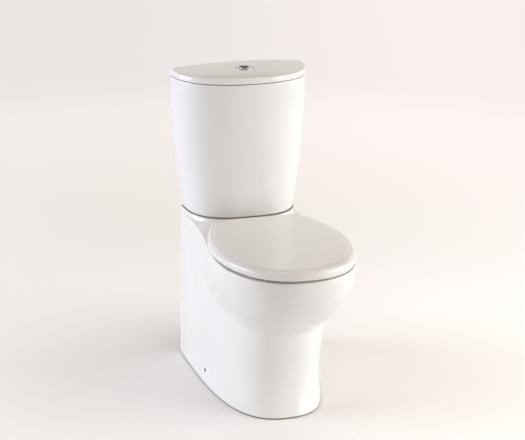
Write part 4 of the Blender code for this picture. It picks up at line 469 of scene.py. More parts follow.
class Finish:
    """A material being built: one method adds any node, with its settings set first."""

    def __init__(self, name, colour, **numbers):
        self.material = bpy.data.materials.new(name)
        self.material.use_nodes = True
        self.material.diffuse_color = (*colour, 1.0)
        self.tree = self.material.node_tree
        self.shader = self.tree.nodes["Principled BSDF"]
        self.shader.inputs["Base Color"].default_value = (*colour, 1.0)
        for key, value in numbers.items():
            self.shader.inputs[key.replace("_", " ").title().replace("Ior", "IOR")
                               ].default_value = value
        self.place = self.node("ShaderNodeTexCoord", output="Object")

    def node(self, kind, values=None, output=None, **settings):
        made = self.tree.nodes.new(kind)
        for key, value in settings.items():
            setattr(made, key, value)
        for key, value in (values or {}).items():
            socket = made.inputs[key]
            if isinstance(value, Wire):
                self.tree.links.new(value.socket, socket)
            else:
                socket.default_value = value
        outputs = [socket for socket in made.outputs if socket.enabled]
        return Wire(self, made.outputs[output] if output is not None else outputs[0])

    def noise(self, scale, detail=2.0, roughness=0.5, stretch=None):
        """Noise on object coordinates, with so many grains to the metre."""
        place = self.place
        if stretch is not None:
            place = self.node("ShaderNodeMapping", {"Vector": place, "Scale": stretch})
        return self.node("ShaderNodeTexNoise", {"Vector": place, "Scale": scale, "Detail": detail,
                                                "Roughness": roughness}, output="Fac")

    def axis(self, letter):
        return self.node("ShaderNodeSeparateXYZ", {"Vector": self.place}, output=letter)

    def blend(self, share, first, second):
        """Mix of two colours by a share."""
        made = self.tree.nodes.new("ShaderNodeMix")
        made.data_type = "RGBA"
        for index, value in ((0, share), (6, first), (7, second)):
            if isinstance(value, Wire):
                self.tree.links.new(value.socket, made.inputs[index])
            else:
                made.inputs[index].default_value = value if index == 0 else (*value, 1.0)
        return Wire(self, made.outputs[2])

    def bumps(self, *layers):
        """Bump nodes in a chain, each of a height, a strength and a distance."""
        normal = None
        for height, strength, distance in layers:
            values = {"Height": height, "Strength": strength, "Distance": distance}
            if normal is not None:
                values["Normal"] = normal
            normal = self.node("ShaderNodeBump", values)
        self.set(Normal=normal)

    def set(self, **sockets):
        for key, value in sockets.items():
            self.tree.links.new(value.socket, self.shader.inputs[key.replace("_", " ")])
        return self.material


class Sky(Finish):
    """The world being built, with the same way of adding nodes; its place is a direction."""

    def __init__(self, name):
        world = bpy.data.worlds.new(name)
        bpy.context.scene.world = world
        world.use_nodes = True
        self.tree = world.node_tree
        self.tree.nodes.remove(self.tree.nodes["Background"])
        self.place = self.node("ShaderNodeTexCoord", output="Generated")

    def show(self, shader):
        self.tree.links.new(shader.socket, self.tree.nodes["World Output"].inputs["Surface"])


def tint(colour, factor):
    """A colour made lighter or darker."""
    return tuple(min(channel * factor, 1.0) for channel in colour)


def china_finish(colour, gloss):
    """Glazed vitreous china: faint cloudiness, pinhead orange peel and a matt unglazed foot, darkened
    to dark brown as painted contact shadow at the floor.
    """
    made = Finish("vitreous_china", colour, roughness=gloss, ior=1.52, coat_roughness=0.03)
    cloud = made.noise(7.0, 3.0, 0.55)
    speck = made.noise(900.0, 1.0).smooth(0.74, 0.78)
    height = made.axis("Z")
    # painted contact shadow: the bottom few millimetres are a real matt unglazed foot, and are also
    # darkened as shade where the pan meets the floor
    foot = 1 - height.smooth(0.0028, 0.0044)
    seam = foot * 0
    for low, high in ((CISTERN_BASE - 0.0012, CISTERN_BASE + 0.0016),
                      (CISTERN_TOP - 0.0019, CISTERN_TOP + 0.0006)):
        seam = seam + height.smooth(low, low + 0.0003) * (1 - height.smooth(high, high + 0.0003))
    warm = made.blend(cloud.smooth(0.35, 0.65), tint(colour, 0.985), tint(colour, 1.008))
    fleck = made.blend(speck * 0.10, warm, (0.55, 0.50, 0.44))
    clay = made.blend(seam * 0.9, fleck, (0.33, 0.23, 0.15))
    # painted shadow: the foot band turns dark brown, standing in for the contact shadow along the
    # floor
    glaze_with_painted_foot_shade = made.blend(foot * 0.9, clay, (0.15, 0.105, 0.075))
    ripple = made.noise(16.0, 2.0)
    peel = made.noise(420.0, 1.5)
    made.bumps((ripple, 0.25, 0.0010), (peel, 0.06, 0.00006))
    rough = made.noise(38.0, 2.0) * (gloss * 0.7) + gloss * 0.65 + (foot + seam) * 0.5
    return made.set(Base_Color=glaze_with_painted_foot_shade, Roughness=rough)


def seat_finish(colour, gloss):
    """Moulded thermoset: denser white than the china, with a very fine, even skin."""
    made = Finish("seat_plastic", colour, roughness=gloss, ior=1.50)
    flow = made.noise(11.0, 2.0, stretch=(1.0, 0.35, 1.0))
    shade = made.blend(flow.smooth(0.3, 0.7), tint(colour, 0.985), tint(colour, 1.006))
    grain = made.noise(1500.0, 1.0)
    made.bumps((made.noise(10.0, 1.0), 0.15, 0.0008), (grain, 0.05, 0.00003))
    rough = made.noise(60.0, 2.0) * (gloss * 0.5) + gloss * 0.75
    return made.set(Base_Color=shade, Roughness=rough)


def chrome_finish(colour):
    """Chromed plastic: bright, with fine wipe marks that open the gloss a little."""
    made = Finish("chrome", colour, roughness=0.06, metallic=1.0)
    wipe = made.noise(300.0, 3.0, stretch=(1.0, 0.15, 1.0))
    haze = made.noise(45.0, 2.0)
    shade = made.blend(haze.smooth(0.4, 0.7), colour, tint(colour, 0.93))
    made.bumps((wipe, 0.04, 0.00004))
    return made.set(Base_Color=shade, Roughness=wipe * 0.05 + haze * 0.05 + 0.02)


def plastic_finish(name, colour, gloss, grain=900.0):
    """Moulded valve plastic: flow clouds, a fine spark texture and an uneven gloss."""
    made = Finish(name, colour, roughness=gloss, ior=1.48)
    cloud = made.noise(60.0, 3.0)
    shade = made.blend(cloud.smooth(0.3, 0.7), tint(colour, 0.93), tint(colour, 1.04))
    texture = made.noise(grain, 2.0)
    made.bumps((texture, 0.25, 0.00008))
    return made.set(Base_Color=shade, Roughness=texture * 0.15 + (gloss - 0.06))


def rubber_finish(name, colour, gloss):
    """Moulded rubber: chalky bloom in patches over a fine matt grain."""
    made = Finish(name, colour, roughness=gloss, ior=1.5)
    bloom = made.noise(90.0, 4.0, 0.6).smooth(0.45, 0.75)
    shade = made.blend(bloom * 0.5, colour, tuple(0.5 * c + 0.12 for c in colour))
    grain = made.noise(2200.0, 2.0)
    made.bumps((grain, 0.35, 0.00005))
    return made.set(Base_Color=shade, Roughness=bloom * 0.12 + gloss)


def metal_finish(name, colour, gloss, dull):
    """Bare or plated metal: turned lines, dull patches and a broken gloss."""
    made = Finish(name, colour, roughness=gloss, metallic=1.0)
    patch = made.noise(120.0, 3.0, 0.6).smooth(0.4, 0.7)
    lines = made.noise(500.0, 2.0, stretch=(1.0, 1.0, 6.0))
    shade = made.blend(patch * dull, colour, tint(colour, 0.62))
    made.bumps((lines, 0.2, 0.00006))
    return made.set(Base_Color=shade, Roughness=patch * 0.2 + lines * 0.12 + (gloss - 0.08))


def seen_directly(made):
    """1 for rays that show the background: from the camera, a gloss or a clear piece."""
    path = [made.node("ShaderNodeLightPath", output=name)
            for name in ("Is Camera Ray", "Is Glossy Ray", "Is Transmission Ray")]
    return path[0].math("MAXIMUM", path[1].math("MAXIMUM", path[2]))


def floor_finish(paper, near, middle, far):
    """Pale paper sweep: matt near the object, with painted light shown to camera and gloss rays,
    turning into its own tones further out.

    near, middle and far each hold a tone of painted light for the left and for the right of the
    picture.
    """
    made = Finish("studio_floor", paper, roughness=0.9)
    east, north = made.axis("X"), made.axis("Y")
    reach = (east * east + north * north) ** 0.5
    away = reach.smooth(0.3, 3.5)
    side = (east * 0.95 - north * 0.31).smooth(-0.8, 0.8)
    fleck = made.noise(260.0, 3.0).smooth(0.3, 0.7)
    sheet = made.blend(fleck, tint(paper, 0.985), tint(paper, 1.0))
    # painted light: an emission seen by camera and gloss rays, darker near the object and on the left,
    # brighter to the right and further out
    painted_floor_light = made.blend(reach.smooth(0.1, 0.9), made.blend(side, *near), made.blend(side, *middle))
    painted_floor_light = made.blend(reach.smooth(0.6, 3.0), painted_floor_light, made.blend(side, *far))
    painted_floor_light = made.blend(seen_directly(made), (0.0, 0.0, 0.0), painted_floor_light)
    made.shader.inputs["Specular IOR Level"].default_value = 0.0
    made.shader.inputs["Emission Strength"].default_value = 1.0
    made.bumps((fleck, 0.1, 0.0003))
    return made.set(Base_Color=made.blend(away, sheet, (0.0, 0.0, 0.0)), Emission_Color=painted_floor_light)


MADE = {}


def finish_of(slot):
    """Finish of a record's material slot, made once from the chosen colours."""
    look = bpy.context.scene.toilet_colours
    makers = {
        "vitreous_china": lambda: china_finish(tuple(look.china), look.china_gloss),
        "seat_plastic": lambda: seat_finish(tuple(look.seat), look.seat_gloss),
        "chrome": lambda: chrome_finish(tuple(look.chrome)),
        "valve_plastic": lambda: plastic_finish("valve_plastic", tuple(look.valve), 0.36),
        "tinted_plastic": lambda: plastic_finish("tinted_plastic", tuple(look.tinted), 0.40),
        "rubber": lambda: rubber_finish("rubber", (0.045, 0.045, 0.048), 0.62),
        "buffer_rubber": lambda: rubber_finish("buffer_rubber", (0.70, 0.69, 0.66), 0.48),
        "brass": lambda: metal_finish("brass", (0.72, 0.56, 0.28), 0.32, 0.6),
        "zinc_steel": lambda: metal_finish("zinc_steel", (0.58, 0.59, 0.60), 0.38, 0.35),
        # near-black matt finish for the flank screws: painted shade standing in for the dark inside
        # their recesses
        "painted_recess_shade": lambda: rubber_finish("painted_recess_shade", (0.012, 0.011, 0.010), 0.7),
    }
    if slot not in MADE:
        MADE[slot] = makers[slot]()
    return MADE[slot]


# Settings

def length(name, description, default, low=0.0, high=0.2):
    return FloatProperty(name=name, description=description, default=default, min=low, max=high,
                         unit="LENGTH", precision=4)


def colour(name, description, default):
    return FloatVectorProperty(name=name, description=description, default=default, size=3,
                               subtype="COLOR", min=0.0, max=1.0)


class ToiletSizes(bpy.types.PropertyGroup):
    """Roundings and small sizes of the china, the seat and the button."""

    rim_round: length("Rim edge", "Rounding of the rim's outer edge", 0.004)
    crease: length("Crease", "Width over which the bowl blends into the column", 0.014, 0.001)
    flank_blend: length("Flank blend", "The same width high up on the flanks", 0.080, 0.001)
    pan_foot_round: length("Pan foot", "Rounding of the pan's edge on the floor", 0.002, 0.001)
    opening_round: length("Opening edge", "Rounding of the edge of the bowl's opening", 0.004)
    plinth_fillet: length("Plinth fillet", "Reach of the fillet in front of the plinth", 0.012)
    cistern_foot_round: length("Cistern foot", "Rounding of the cistern's bottom edge", 0.0040)
    cistern_back_round: length("Cistern corner", "Rounding of the cistern's back corners", 0.0045)
    cistern_seam: length("Cistern seam", "Gap round the cistern's foot above the pan", 0.0010)
    lid_seam: length("Lid seam", "Gap round the cistern below its lid", 0.0011)
    lid_round: length("Cistern lid edge", "Rounding of the cistern lid's upper edge", 0.0070)
    lid_crown: length("Cistern lid crown", "Height of the cistern lid's crown", 0.0079)
    seat_round: length("Seat lid edge", "Rounding of the seat lid's upper edge", 0.0140)
    seat_side_round: length("Seat lid side edge", "Reach of that rounding at the sides", 0.0380)
    seat_crown: length("Seat lid crown", "Rise of the seat lid from its edge to its middle", 0.0012)
    ring_drop: length("Seat ring dish", "Fall of the seat ring towards its opening", 0.0030)
    button_dish: length("Button dish", "Depth of the dish in the button", 0.0030)


class ToiletColours(bpy.types.PropertyGroup):
    """Colours and gloss of the finishes."""

    china: colour("China", "Glaze of the pan, cistern and lid", (0.86, 0.852, 0.838))
    china_gloss: FloatProperty(name="China gloss", description="Roughness of the glaze",
                               default=0.08, min=0.01, max=1.0)
    seat: colour("Seat", "Plastic of the seat and its lid", (0.83, 0.804, 0.778))
    seat_gloss: FloatProperty(name="Seat gloss", description="Roughness of the seat",
                              default=0.14, min=0.01, max=1.0)
    chrome: colour("Chrome", "Plating of the button and hinges", (0.60, 0.60, 0.605))
    valve: colour("Valve", "Plain plastic of the valves", (0.82, 0.82, 0.80))
    tinted: colour("Tinted", "Tinted plastic of the floats and caps", (0.20, 0.36, 0.55))


# Pan

def basin_rings(wall, falls):
    """Sizes, centres and heights of the basin: a share (1 - fall ** 1.6) ** 2 of channel to sump."""
    share = (1 - falls ** 1.6) ** 2.0
    sizes = [sump + (channel - sump) * share + wall for sump, channel in zip(SUMP, CHANNEL)]
    centre = BASIN_CENTRE + (SUMP_CENTRE - BASIN_CENTRE) * falls
    ceiling = RIM_HEIGHT - RIM_ROOF
    return sizes, centre, ceiling + (SUMP_HEIGHT - ceiling) * falls


def bowl_room(sizes):
    """Everything inside the bowl: its rounded opening, the lip, the channel and the basin."""
    foot, ceiling = RIM_HEIGHT - LIP_DROP, RIM_HEIGHT - RIM_ROOF
    edge, lip = sizes.opening_round, 0.0035
    profile = rounded([(edge * 3, RIM_HEIGHT + 0.02), (edge * 3, RIM_HEIGHT), (0, RIM_HEIGHT),
                       (0, foot), (LIP_THICKNESS, foot), (LIP_THICKNESS, ceiling)],
                      [0, 0, edge, lip, lip, 0], 7)
    profile[0, 0] = profile[1, 0] = edge
    grow, height = profile[:, 0], profile[:, 1]
    x, distance = egg_outline([np.full(grow.shape, v) for v in OPENING], grow,
                              np.full(grow.shape, BASIN_CENTRE))
    upper = at(x, distance, height[:, None])
    falls = np.concatenate([[0.0, 0.004, 0.016], np.linspace(0.04, 1, 34) ** 1.15])
    sizes_down, centre, height = basin_rings(0.0, falls)
    soft = np.array([0.008, 0.0035, 0.0] + [0.0] * (len(falls) - 3))
    x, distance = egg_outline(sizes_down, -soft, centre)
    lower = at(x, distance, height[:, None])
    x, distance = egg_outline([np.array([v]) for v in SUMP], np.array([-0.012]),
                              np.array([SUMP_CENTRE]))
    floor = at(x, distance, np.array([[SUMP_HEIGHT - 0.004]]))
    return loft("bowl_room", np.concatenate([upper, lower, floor]))


def plinth_body(sizes):
    """Raised bed under the cistern: its depth falls along a fillet, a slope and a rounded top."""
    toe = 0.164 + sizes.plinth_fillet
    profile = rounded([(toe + 0.003, RIM_HEIGHT - 0.002), (toe, RIM_HEIGHT - 0.0001),
                       (0.1585, RIM_HEIGHT), (0.1500, PLINTH_HEIGHT), (0.130, PLINTH_HEIGHT)],
                      [0, 0, sizes.plinth_fillet * 1.3, 0.003, 0], 10)
    low = np.array([[toe + 0.003, DECK_UNDERSIDE + 0.008]])
    profile = np.concatenate([low, profile[:-1]])
    count = len(profile)
    x, distance = d_outline(np.full(count, COLUMN_HALF_WIDTH - 0.0002), profile[:, 0] - 0.0004,
                            np.full(count, 2.9), np.full(count, 2.9), 0.0004)
    return loft("plinth_body", at(x, distance, profile[:, 1, None]))


def smooth_route(points, steps):
    """Catmull-Rom curve through points, each span a cubic of its four neighbours."""
    points = np.asarray(points, float)
    ends = np.concatenate([points[:1] * 2 - points[1:2], points, points[-1:] * 2 - points[-2:-1]])
    t = (np.arange(steps) / steps)[None, :, None]
    p0, p1, p2, p3 = (ends[i:len(ends) - 3 + i, None, :] for i in range(4))
    curve = 0.5 * (2 * p1 + (p2 - p0) * t + (2 * p0 - 5 * p1 + 4 * p2 - p3) * t ** 2
                   + (3 * p1 - p0 - 3 * p2 + p3) * t ** 3)
    return np.concatenate([curve.reshape(-1, points.shape[1]), points[-1:]])


def trap_tube(name, radius, sides=40):
    """Tube in the middle plane along the trapway's curve: circles across its tangent."""
    route = smooth_route([
        (0.356, 0.141), (0.314, 0.138), (0.27008, 0.16452), (0.23226, 0.21654),
        (0.192, 0.240), (0.13832, 0.2208), (0.100, 0.188), (0.060, 0.180),
    ], 6)
    along = np.gradient(route, axis=0)
    along /= np.linalg.norm(along, axis=1, keepdims=True)
    turn = np.linspace(0, TURN, sides, endpoint=False)[None, :]
    x = radius * np.cos(turn) + 0 * route[:, :1]
    distance = route[:, :1] - along[:, 1:] * radius * np.sin(turn)
    height = route[:, 1:] + along[:, :1] * radius * np.sin(turn)
    return loft(name, at(x, distance, height))


def column_half_width(distance, height):
    """Half-width of the column at a distance from the wall."""
    room = 1 - (distance / column_reach(np.array(height))) ** COLUMN_FRONT_POWER
    return float(COLUMN_HALF_WIDTH * room ** (1 / COLUMN_SIDE_POWER))


def make_pan(sizes):
    """The whole china pan as one body: skin, plinth, hollows, basin, trapway, duct and holes."""
    foot = sizes.pan_foot_round
    low = np.concatenate([foot * (1 - np.cos(np.linspace(0, math.pi / 2, 6))),
                          np.linspace(0.012, 0.150, 15),
                          np.linspace(0.156, 0.330, 62), np.linspace(0.337, 0.4085, 12)])
    inset = foot - np.sqrt(np.clip(foot ** 2 - np.clip(foot - low, 0, None) ** 2, 0, None))
    turn = np.linspace(0, math.pi / 2, 10)
    edge = sizes.rim_round
    low = low[low < RIM_HEIGHT - edge - 0.002]
    heights = np.concatenate([low, RIM_HEIGHT - edge * (1 - np.sin(turn))])
    insets = np.concatenate([inset[:len(low)], edge * (1 - np.cos(turn))])
    rise = np.clip((heights - 0.205) / 0.130, 0, 1)
    blend = sizes.crease + (sizes.flank_blend - sizes.crease) * rise ** 2 * (3 - 2 * rise)
    pan = loft("china_pan", pan_rings(heights, insets, blend))

    levels = np.concatenate([[-0.01, 0.0], np.linspace(0.02, WAIST_TOP, 10), [HOLLOW_TOP]])
    reach = column_reach(np.clip(levels, 0, None)) - CHINA
    x, distance = d_outline(np.full(len(levels), COLUMN_HALF_WIDTH - CHINA), reach,
                            np.full(len(levels), COLUMN_SIDE_POWER),
                            np.full(len(levels), COLUMN_FRONT_POWER), steps=60)
    x = np.concatenate([x[:, :1], x, x[:, -1:]], axis=1)
    distance = np.concatenate([0 * x[:, :1] - 0.01, distance, 0 * x[:, :1] - 0.01], axis=1)
    column_hollow = loft("column_hollow", at(x, distance, levels[:, None]))

    bottom, top = BOWL_TOP - BOWL_DROP, HOLLOW_TOP - CHINA / 2
    levels = bottom + (top - bottom) * np.array([0.17, 0.22, 0.28, 0.36, 0.45, 0.56, 0.68, 0.8,
                                                 0.9, 1.0])
    share = bowl_share(levels)[:, None]
    turn = np.linspace(0, TURN, 72, endpoint=False)[None, :]
    across, out = np.cos(turn), np.sin(turn)
    side = np.where(out >= 0, BOWL_SIDE_POWER, BOWL_REAR_SIDE_POWER)
    along = np.where(out >= 0, BOWL_FRONT_POWER, BOWL_REAR_POWER)
    reach = np.where(out >= 0, BOWL_FRONT * share - CHINA, CHINA - BOWL_REAR * share)
    x = np.sign(across) * (BOWL_HALF_WIDTH * share - CHINA) * np.abs(across) ** (2 / side)
    centre = BOWL_CENTRE - BOWL_DRIFT * (1 - share)
    distance = centre + reach * np.abs(out) ** (2 / along)
    bowl_hollow = loft("bowl_hollow", at(x, distance, levels[:, None] + CHINA / 2))

    flank = column_half_width(0.237, RIM_HEIGHT) - CHINA
    deck_hollow = box_body("deck_hollow", (-flank, WALL_Y - 0.237, HOLLOW_TOP - 0.01),
                           (flank, WALL_Y + 0.01, DECK_UNDERSIDE))

    falls = np.linspace(0, 1, 26) ** 1.1
    sizes_down, centre, height = basin_rings(0.011, falls)
    x, distance = egg_outline(sizes_down, np.zeros(len(falls)), centre, 72)
    height[0] = 0.408
    height[-1] = SUMP_HEIGHT - 0.011
    shell = loft("basin_shell", at(x, distance, height[:, None]))

    outlet = (0, 0, 0.180)
    spigot = lathe("spigot", rounded([(0, 0.030), (0.051, 0.030), (0.051, 0.127), (0, 0.127)],
                                     [0, 0.002, 0.002, 0], 4), outlet, "Y", 72)
    spigot_bore = lathe("spigot_bore", [(0, 0.02), (0.041, 0.02), (0.041, 0.115), (0, 0.115)],
                        outlet, "Y", 64)
    duct = box_body("duct_wall", (-0.043, WALL_Y - 0.250, 0.362), (0.043, WALL_Y - 0.024, 0.405))
    way = box_body("duct_way", (-0.033, WALL_Y - 0.262, 0.372), (0.033, WALL_Y - 0.034, 0.395))
    drills = [
        lathe("inlet", [(0, 0.382), (0.034, 0.382), (0.034, 0.412), (0.0525, 0.412),
                        (0.0525, 0.440), (0, 0.440)], (0, BUTTON_DISTANCE, 0), sides=72),
        lathe("fill_hole", [(0, 0.385), (0.021, 0.385), (0.021, 0.440), (0, 0.440)],
              (FILL_X, FILL_DISTANCE, 0), sides=48),
    ]
    skin_x = column_half_width(0.2253, 0.0412)
    for side in (-1, 1):
        for x, distance, radius in ((COUPLING_X, BUTTON_DISTANCE, 0.0055),
                                    (HINGE_X, STUD_DISTANCE, 0.0075)):
            drills.append(lathe("bolt_hole", [(0, 0.385), (radius, 0.385), (radius, 0.440),
                                              (0, 0.440)], (side * x, distance, 0), sides=36))
        profile = [(0, skin_x + 0.01), (0.0062, skin_x + 0.01), (0.0062, skin_x + 0.0006),
                   (0.0055, skin_x - 0.0008), (0.0055, skin_x - 0.0075),
                   (0.0036, skin_x - 0.0075), (0.0036, skin_x - 0.022), (0, skin_x - 0.022)]
        profile = [(radius, side * reach) for radius, reach in profile]
        drills.append(lathe("flank_hole", profile, (0, 0.2253, 0.0412), "X", 36))
    drills = merge_objects("drills", drills)

    join_and_cut(pan, [
        ("UNION", plinth_body(sizes)),
        ("DIFFERENCE", column_hollow),
        ("DIFFERENCE", bowl_hollow),
        ("DIFFERENCE", deck_hollow),
        ("UNION", shell),
        ("UNION", trap_tube("trap_wall", 0.036)),
        ("UNION", spigot),
        ("UNION", duct),
        ("DIFFERENCE", bowl_room(sizes)),
        ("DIFFERENCE", trap_tube("trap_bore", 0.026)),
        ("DIFFERENCE", spigot_bore),
        ("DIFFERENCE", way),
        ("DIFFERENCE", drills),
    ])
    return dress(pan, finish_of("vitreous_china"), "toilet",
                 ["pan", "pan_bowl", "pan_trapway"], 34)


# Cistern

def cistern_shape(fall, inset, front_cut, back, corner):
    """Outline sizes of the cistern: top to foot by fall ** taper power, drawn in by an inset."""
    share = fall ** CISTERN_TAPER_POWER
    half, depth, side, front = (top + (foot - top) * share
                                for top, foot in zip(CISTERN_SIZES, CISTERN_FOOT_SIZES))
    return d_outline(half - inset, depth - front_cut, side, front, back, corner)


def make_cistern(sizes):
    """Tapering china box, open at the top, its wall and floor one closed skin, then drilled."""
    height_all = CISTERN_TOP - CISTERN_BASE
    foot, lip = sizes.cistern_foot_round, 0.002
    inside = CISTERN_BASE + CISTERN_FLOOR
    seam, ledge = sizes.lid_seam, sizes.cistern_seam
    outer = rounded([(0.030, CISTERN_BASE), (ledge * 2, CISTERN_BASE),
                     (ledge * 2, CISTERN_BASE + ledge), (0.0, CISTERN_BASE + ledge),
                     (0.0, CISTERN_TOP - seam), (seam * 2, CISTERN_TOP - seam),
                     (seam * 2, CISTERN_TOP), (CISTERN_WALL, CISTERN_TOP)],
                    [0, 0, 0, foot, lip, 0, 0, 0], 8)
    rise = np.linspace(CISTERN_BASE + ledge + foot * 1.6, CISTERN_TOP - seam - lip * 2, 30)
    split = int(np.argmax(outer[:, 1] > CISTERN_BASE + ledge + foot * 1.5))
    outer = np.concatenate([outer[:split], np.stack([0 * rise, rise], 1), outer[split:-1]])
    inner = rounded([(0.0, CISTERN_TOP), (CISTERN_WALL, CISTERN_TOP), (CISTERN_WALL, inside),
                     (0.040, inside)], [0, lip, 0.010, 0], 8)[1:]
    inner_rise = np.linspace(CISTERN_TOP - lip * 2, inside + 0.013, 24)
    split = int(np.argmax(inner[:, 1] < inside + 0.012))
    inner = np.concatenate([inner[:split], np.stack([0 * inner_rise + CISTERN_WALL, inner_rise], 1),
                            inner[split:]])
    rings = []
    for profile, is_inside in ((outer, False), (inner, True)):
        inset, height = profile[:, 0], profile[:, 1]
        fall = np.clip((CISTERN_TOP - height) / height_all, 0, 1)
        depth = inset * (2 if is_inside else 1)
        back = inset if is_inside else np.where(height > CISTERN_TOP - lip, 0 * inset, inset * 0.0)
        corner = np.full(len(inset), sizes.cistern_back_round)
        if is_inside:
            corner = corner + 0.006
        else:
            depth = inset
        x, distance = cistern_shape(fall, inset, depth, back, corner)
        rings.append(at(x, distance, height[:, None]))
    cistern = loft("china_cistern", np.concatenate(rings))
    drills = [lathe("valve_hole", [(0, 0.42), (0.0315, 0.42), (0.0315, 0.45), (0, 0.45)],
                    (0, BUTTON_DISTANCE, 0), sides=72)]
    for x, distance, radius in ((FILL_X, FILL_DISTANCE, 0.0112), (COUPLING_X, BUTTON_DISTANCE, 0.0052),
                                (-COUPLING_X, BUTTON_DISTANCE, 0.0052)):
        drills.append(lathe("floor_hole", [(0, 0.42), (radius, 0.42), (radius, 0.45), (0, 0.45)],
                            (x, distance, 0), sides=36))
    join_and_cut(cistern, [("DIFFERENCE", merge_objects("floor_holes", drills))])
    return dress(cistern, finish_of("vitreous_china"), "toilet", ["cistern"])


def make_cistern_lid(sizes):
    """Crowned lid: rings drawn in for the edge, then scaled to the back middle for the crown.

    height = shoulder + crown * (1 - scale ** 2.2)
    """
    base = CISTERN_TOP + CLEAR
    side, edge = 0.0100, sizes.lid_round
    shoulder = base + side + 0.0070
    half, depth, side_power, front_power = CISTERN_SIZES
    half, depth = half + 0.001, depth + 0.001
    lip_inset, lip_back = 0.0122, 0.0112
    hollow_inset, hollow_back = lip_inset + 0.005, lip_back + 0.005
    ceiling, foot = shoulder - 0.0070, base - 0.0065
    rows = [(hollow_inset + 0.004, 1.0, ceiling, hollow_back + 0.004),
            (hollow_inset + 0.001, 1.0, ceiling - 0.0006, hollow_back + 0.001),
            (hollow_inset, 1.0, ceiling - 0.003, hollow_back),
            (hollow_inset, 1.0, foot + 0.001, hollow_back),
            (hollow_inset - 0.001, 1.0, foot, hollow_back - 0.001),
            (lip_inset + 0.001, 1.0, foot, lip_back + 0.001),
            (lip_inset, 1.0, foot + 0.001, lip_back),
            (lip_inset, 1.0, base, lip_back)]
    under = rounded([(lip_inset, base), (0.0, base), (0.0, shoulder), (edge * 2, shoulder)],
                    [0, 0.0012, edge, 0], 10)[1:-1]
    rows += [(inset, 1.0, height, 0.0) for inset, height in under]
    for scale in np.concatenate([np.linspace(0.992, 0.80, 16), np.linspace(0.76, 0.04, 18)]):
        rows.append((edge, scale, shoulder + sizes.lid_crown * (1 - scale ** 2.2), 0.0))
    inset, scale, height, back = np.array(rows).T
    corner = np.where(scale < 1, 0.004 * scale, 0.004)
    x, distance = d_outline((half - inset) * scale, (depth - inset - back) * scale,
                            np.full(len(rows), side_power), np.full(len(rows), front_power),
                            back, corner)
    lid = loft("china_cistern_lid", at(x, distance, height[:, None]))
    pad = 0.8113
    hole = lathe("button_hole", [(0, 0.78), (0.0203, 0.78), (0.0203, pad), (0.0243, pad),
                                 (0.0246, pad + 0.006), (0, pad + 0.02)],
                 (0, BUTTON_DISTANCE, 0), sides=96)
    join_and_cut(lid, [("DIFFERENCE", hole)])
    return dress(lid, finish_of("vitreous_china"), "cistern_lid", ["cistern_lid"])


# Seat

def seat_half_width(distance, inset, side_inset):
    """Half-width of the seat: (1 - out ** power) ** (1 / power), its own powers front and rear."""
    ahead = distance > SEAT_CENTRE
    out = np.where(ahead, (distance - SEAT_CENTRE) / (PROJECTION - SEAT_CENTRE - inset),
                   (SEAT_CENTRE - distance) / SEAT_REAR)
    side = np.where(ahead, 2.385, 1.114)
    along = np.where(ahead, 2.176, 1.657)
    room = np.clip(1 - np.clip(out, 0, 1) ** along, 0, None)
    return (SEAT_HALF_WIDTH - side_inset) * room ** (1 / side)


def seat_outline(inset, back, corner, side_inset=None, steps=90):
    """Whole seat outline at insets: the right half from the back edge to the tip, then mirrored."""
    side_inset = inset if side_inset is None else side_inset
    inset, back, corner, side_inset = (np.atleast_1d(np.asarray(v, float))[:, None]
                                       for v in (inset, back, corner, side_inset))
    front = PROJECTION - inset
    share = np.linspace(0, 1, steps + 1)[None, :]
    distance = back + (front - back) * (1 - np.cos(math.pi * share)) / 2
    half = seat_half_width(distance, inset, side_inset)
    past = np.clip(corner - (distance - back), 0, None)
    half = half - (corner - np.sqrt(np.clip(corner ** 2 - past ** 2, 0, None)))
    half[:, -1] = 0
    x = np.concatenate([half, -half[:, -2::-1]], axis=1)
    return x, np.concatenate([distance, distance[:, -2::-1]], axis=1)


def hinge_lathe(name, radius, start, end, bevel=0.0, sides=48):
    """Drum on the hinge axis."""
    low, high = min(start, end), max(start, end)
    profile = rounded([(0, low), (radius, low), (radius, high), (0, high)],
                      [0, bevel, bevel, 0], 3)
    return lathe(name, profile, (0, HINGE_DISTANCE, HINGE_HEIGHT), "X", sides)


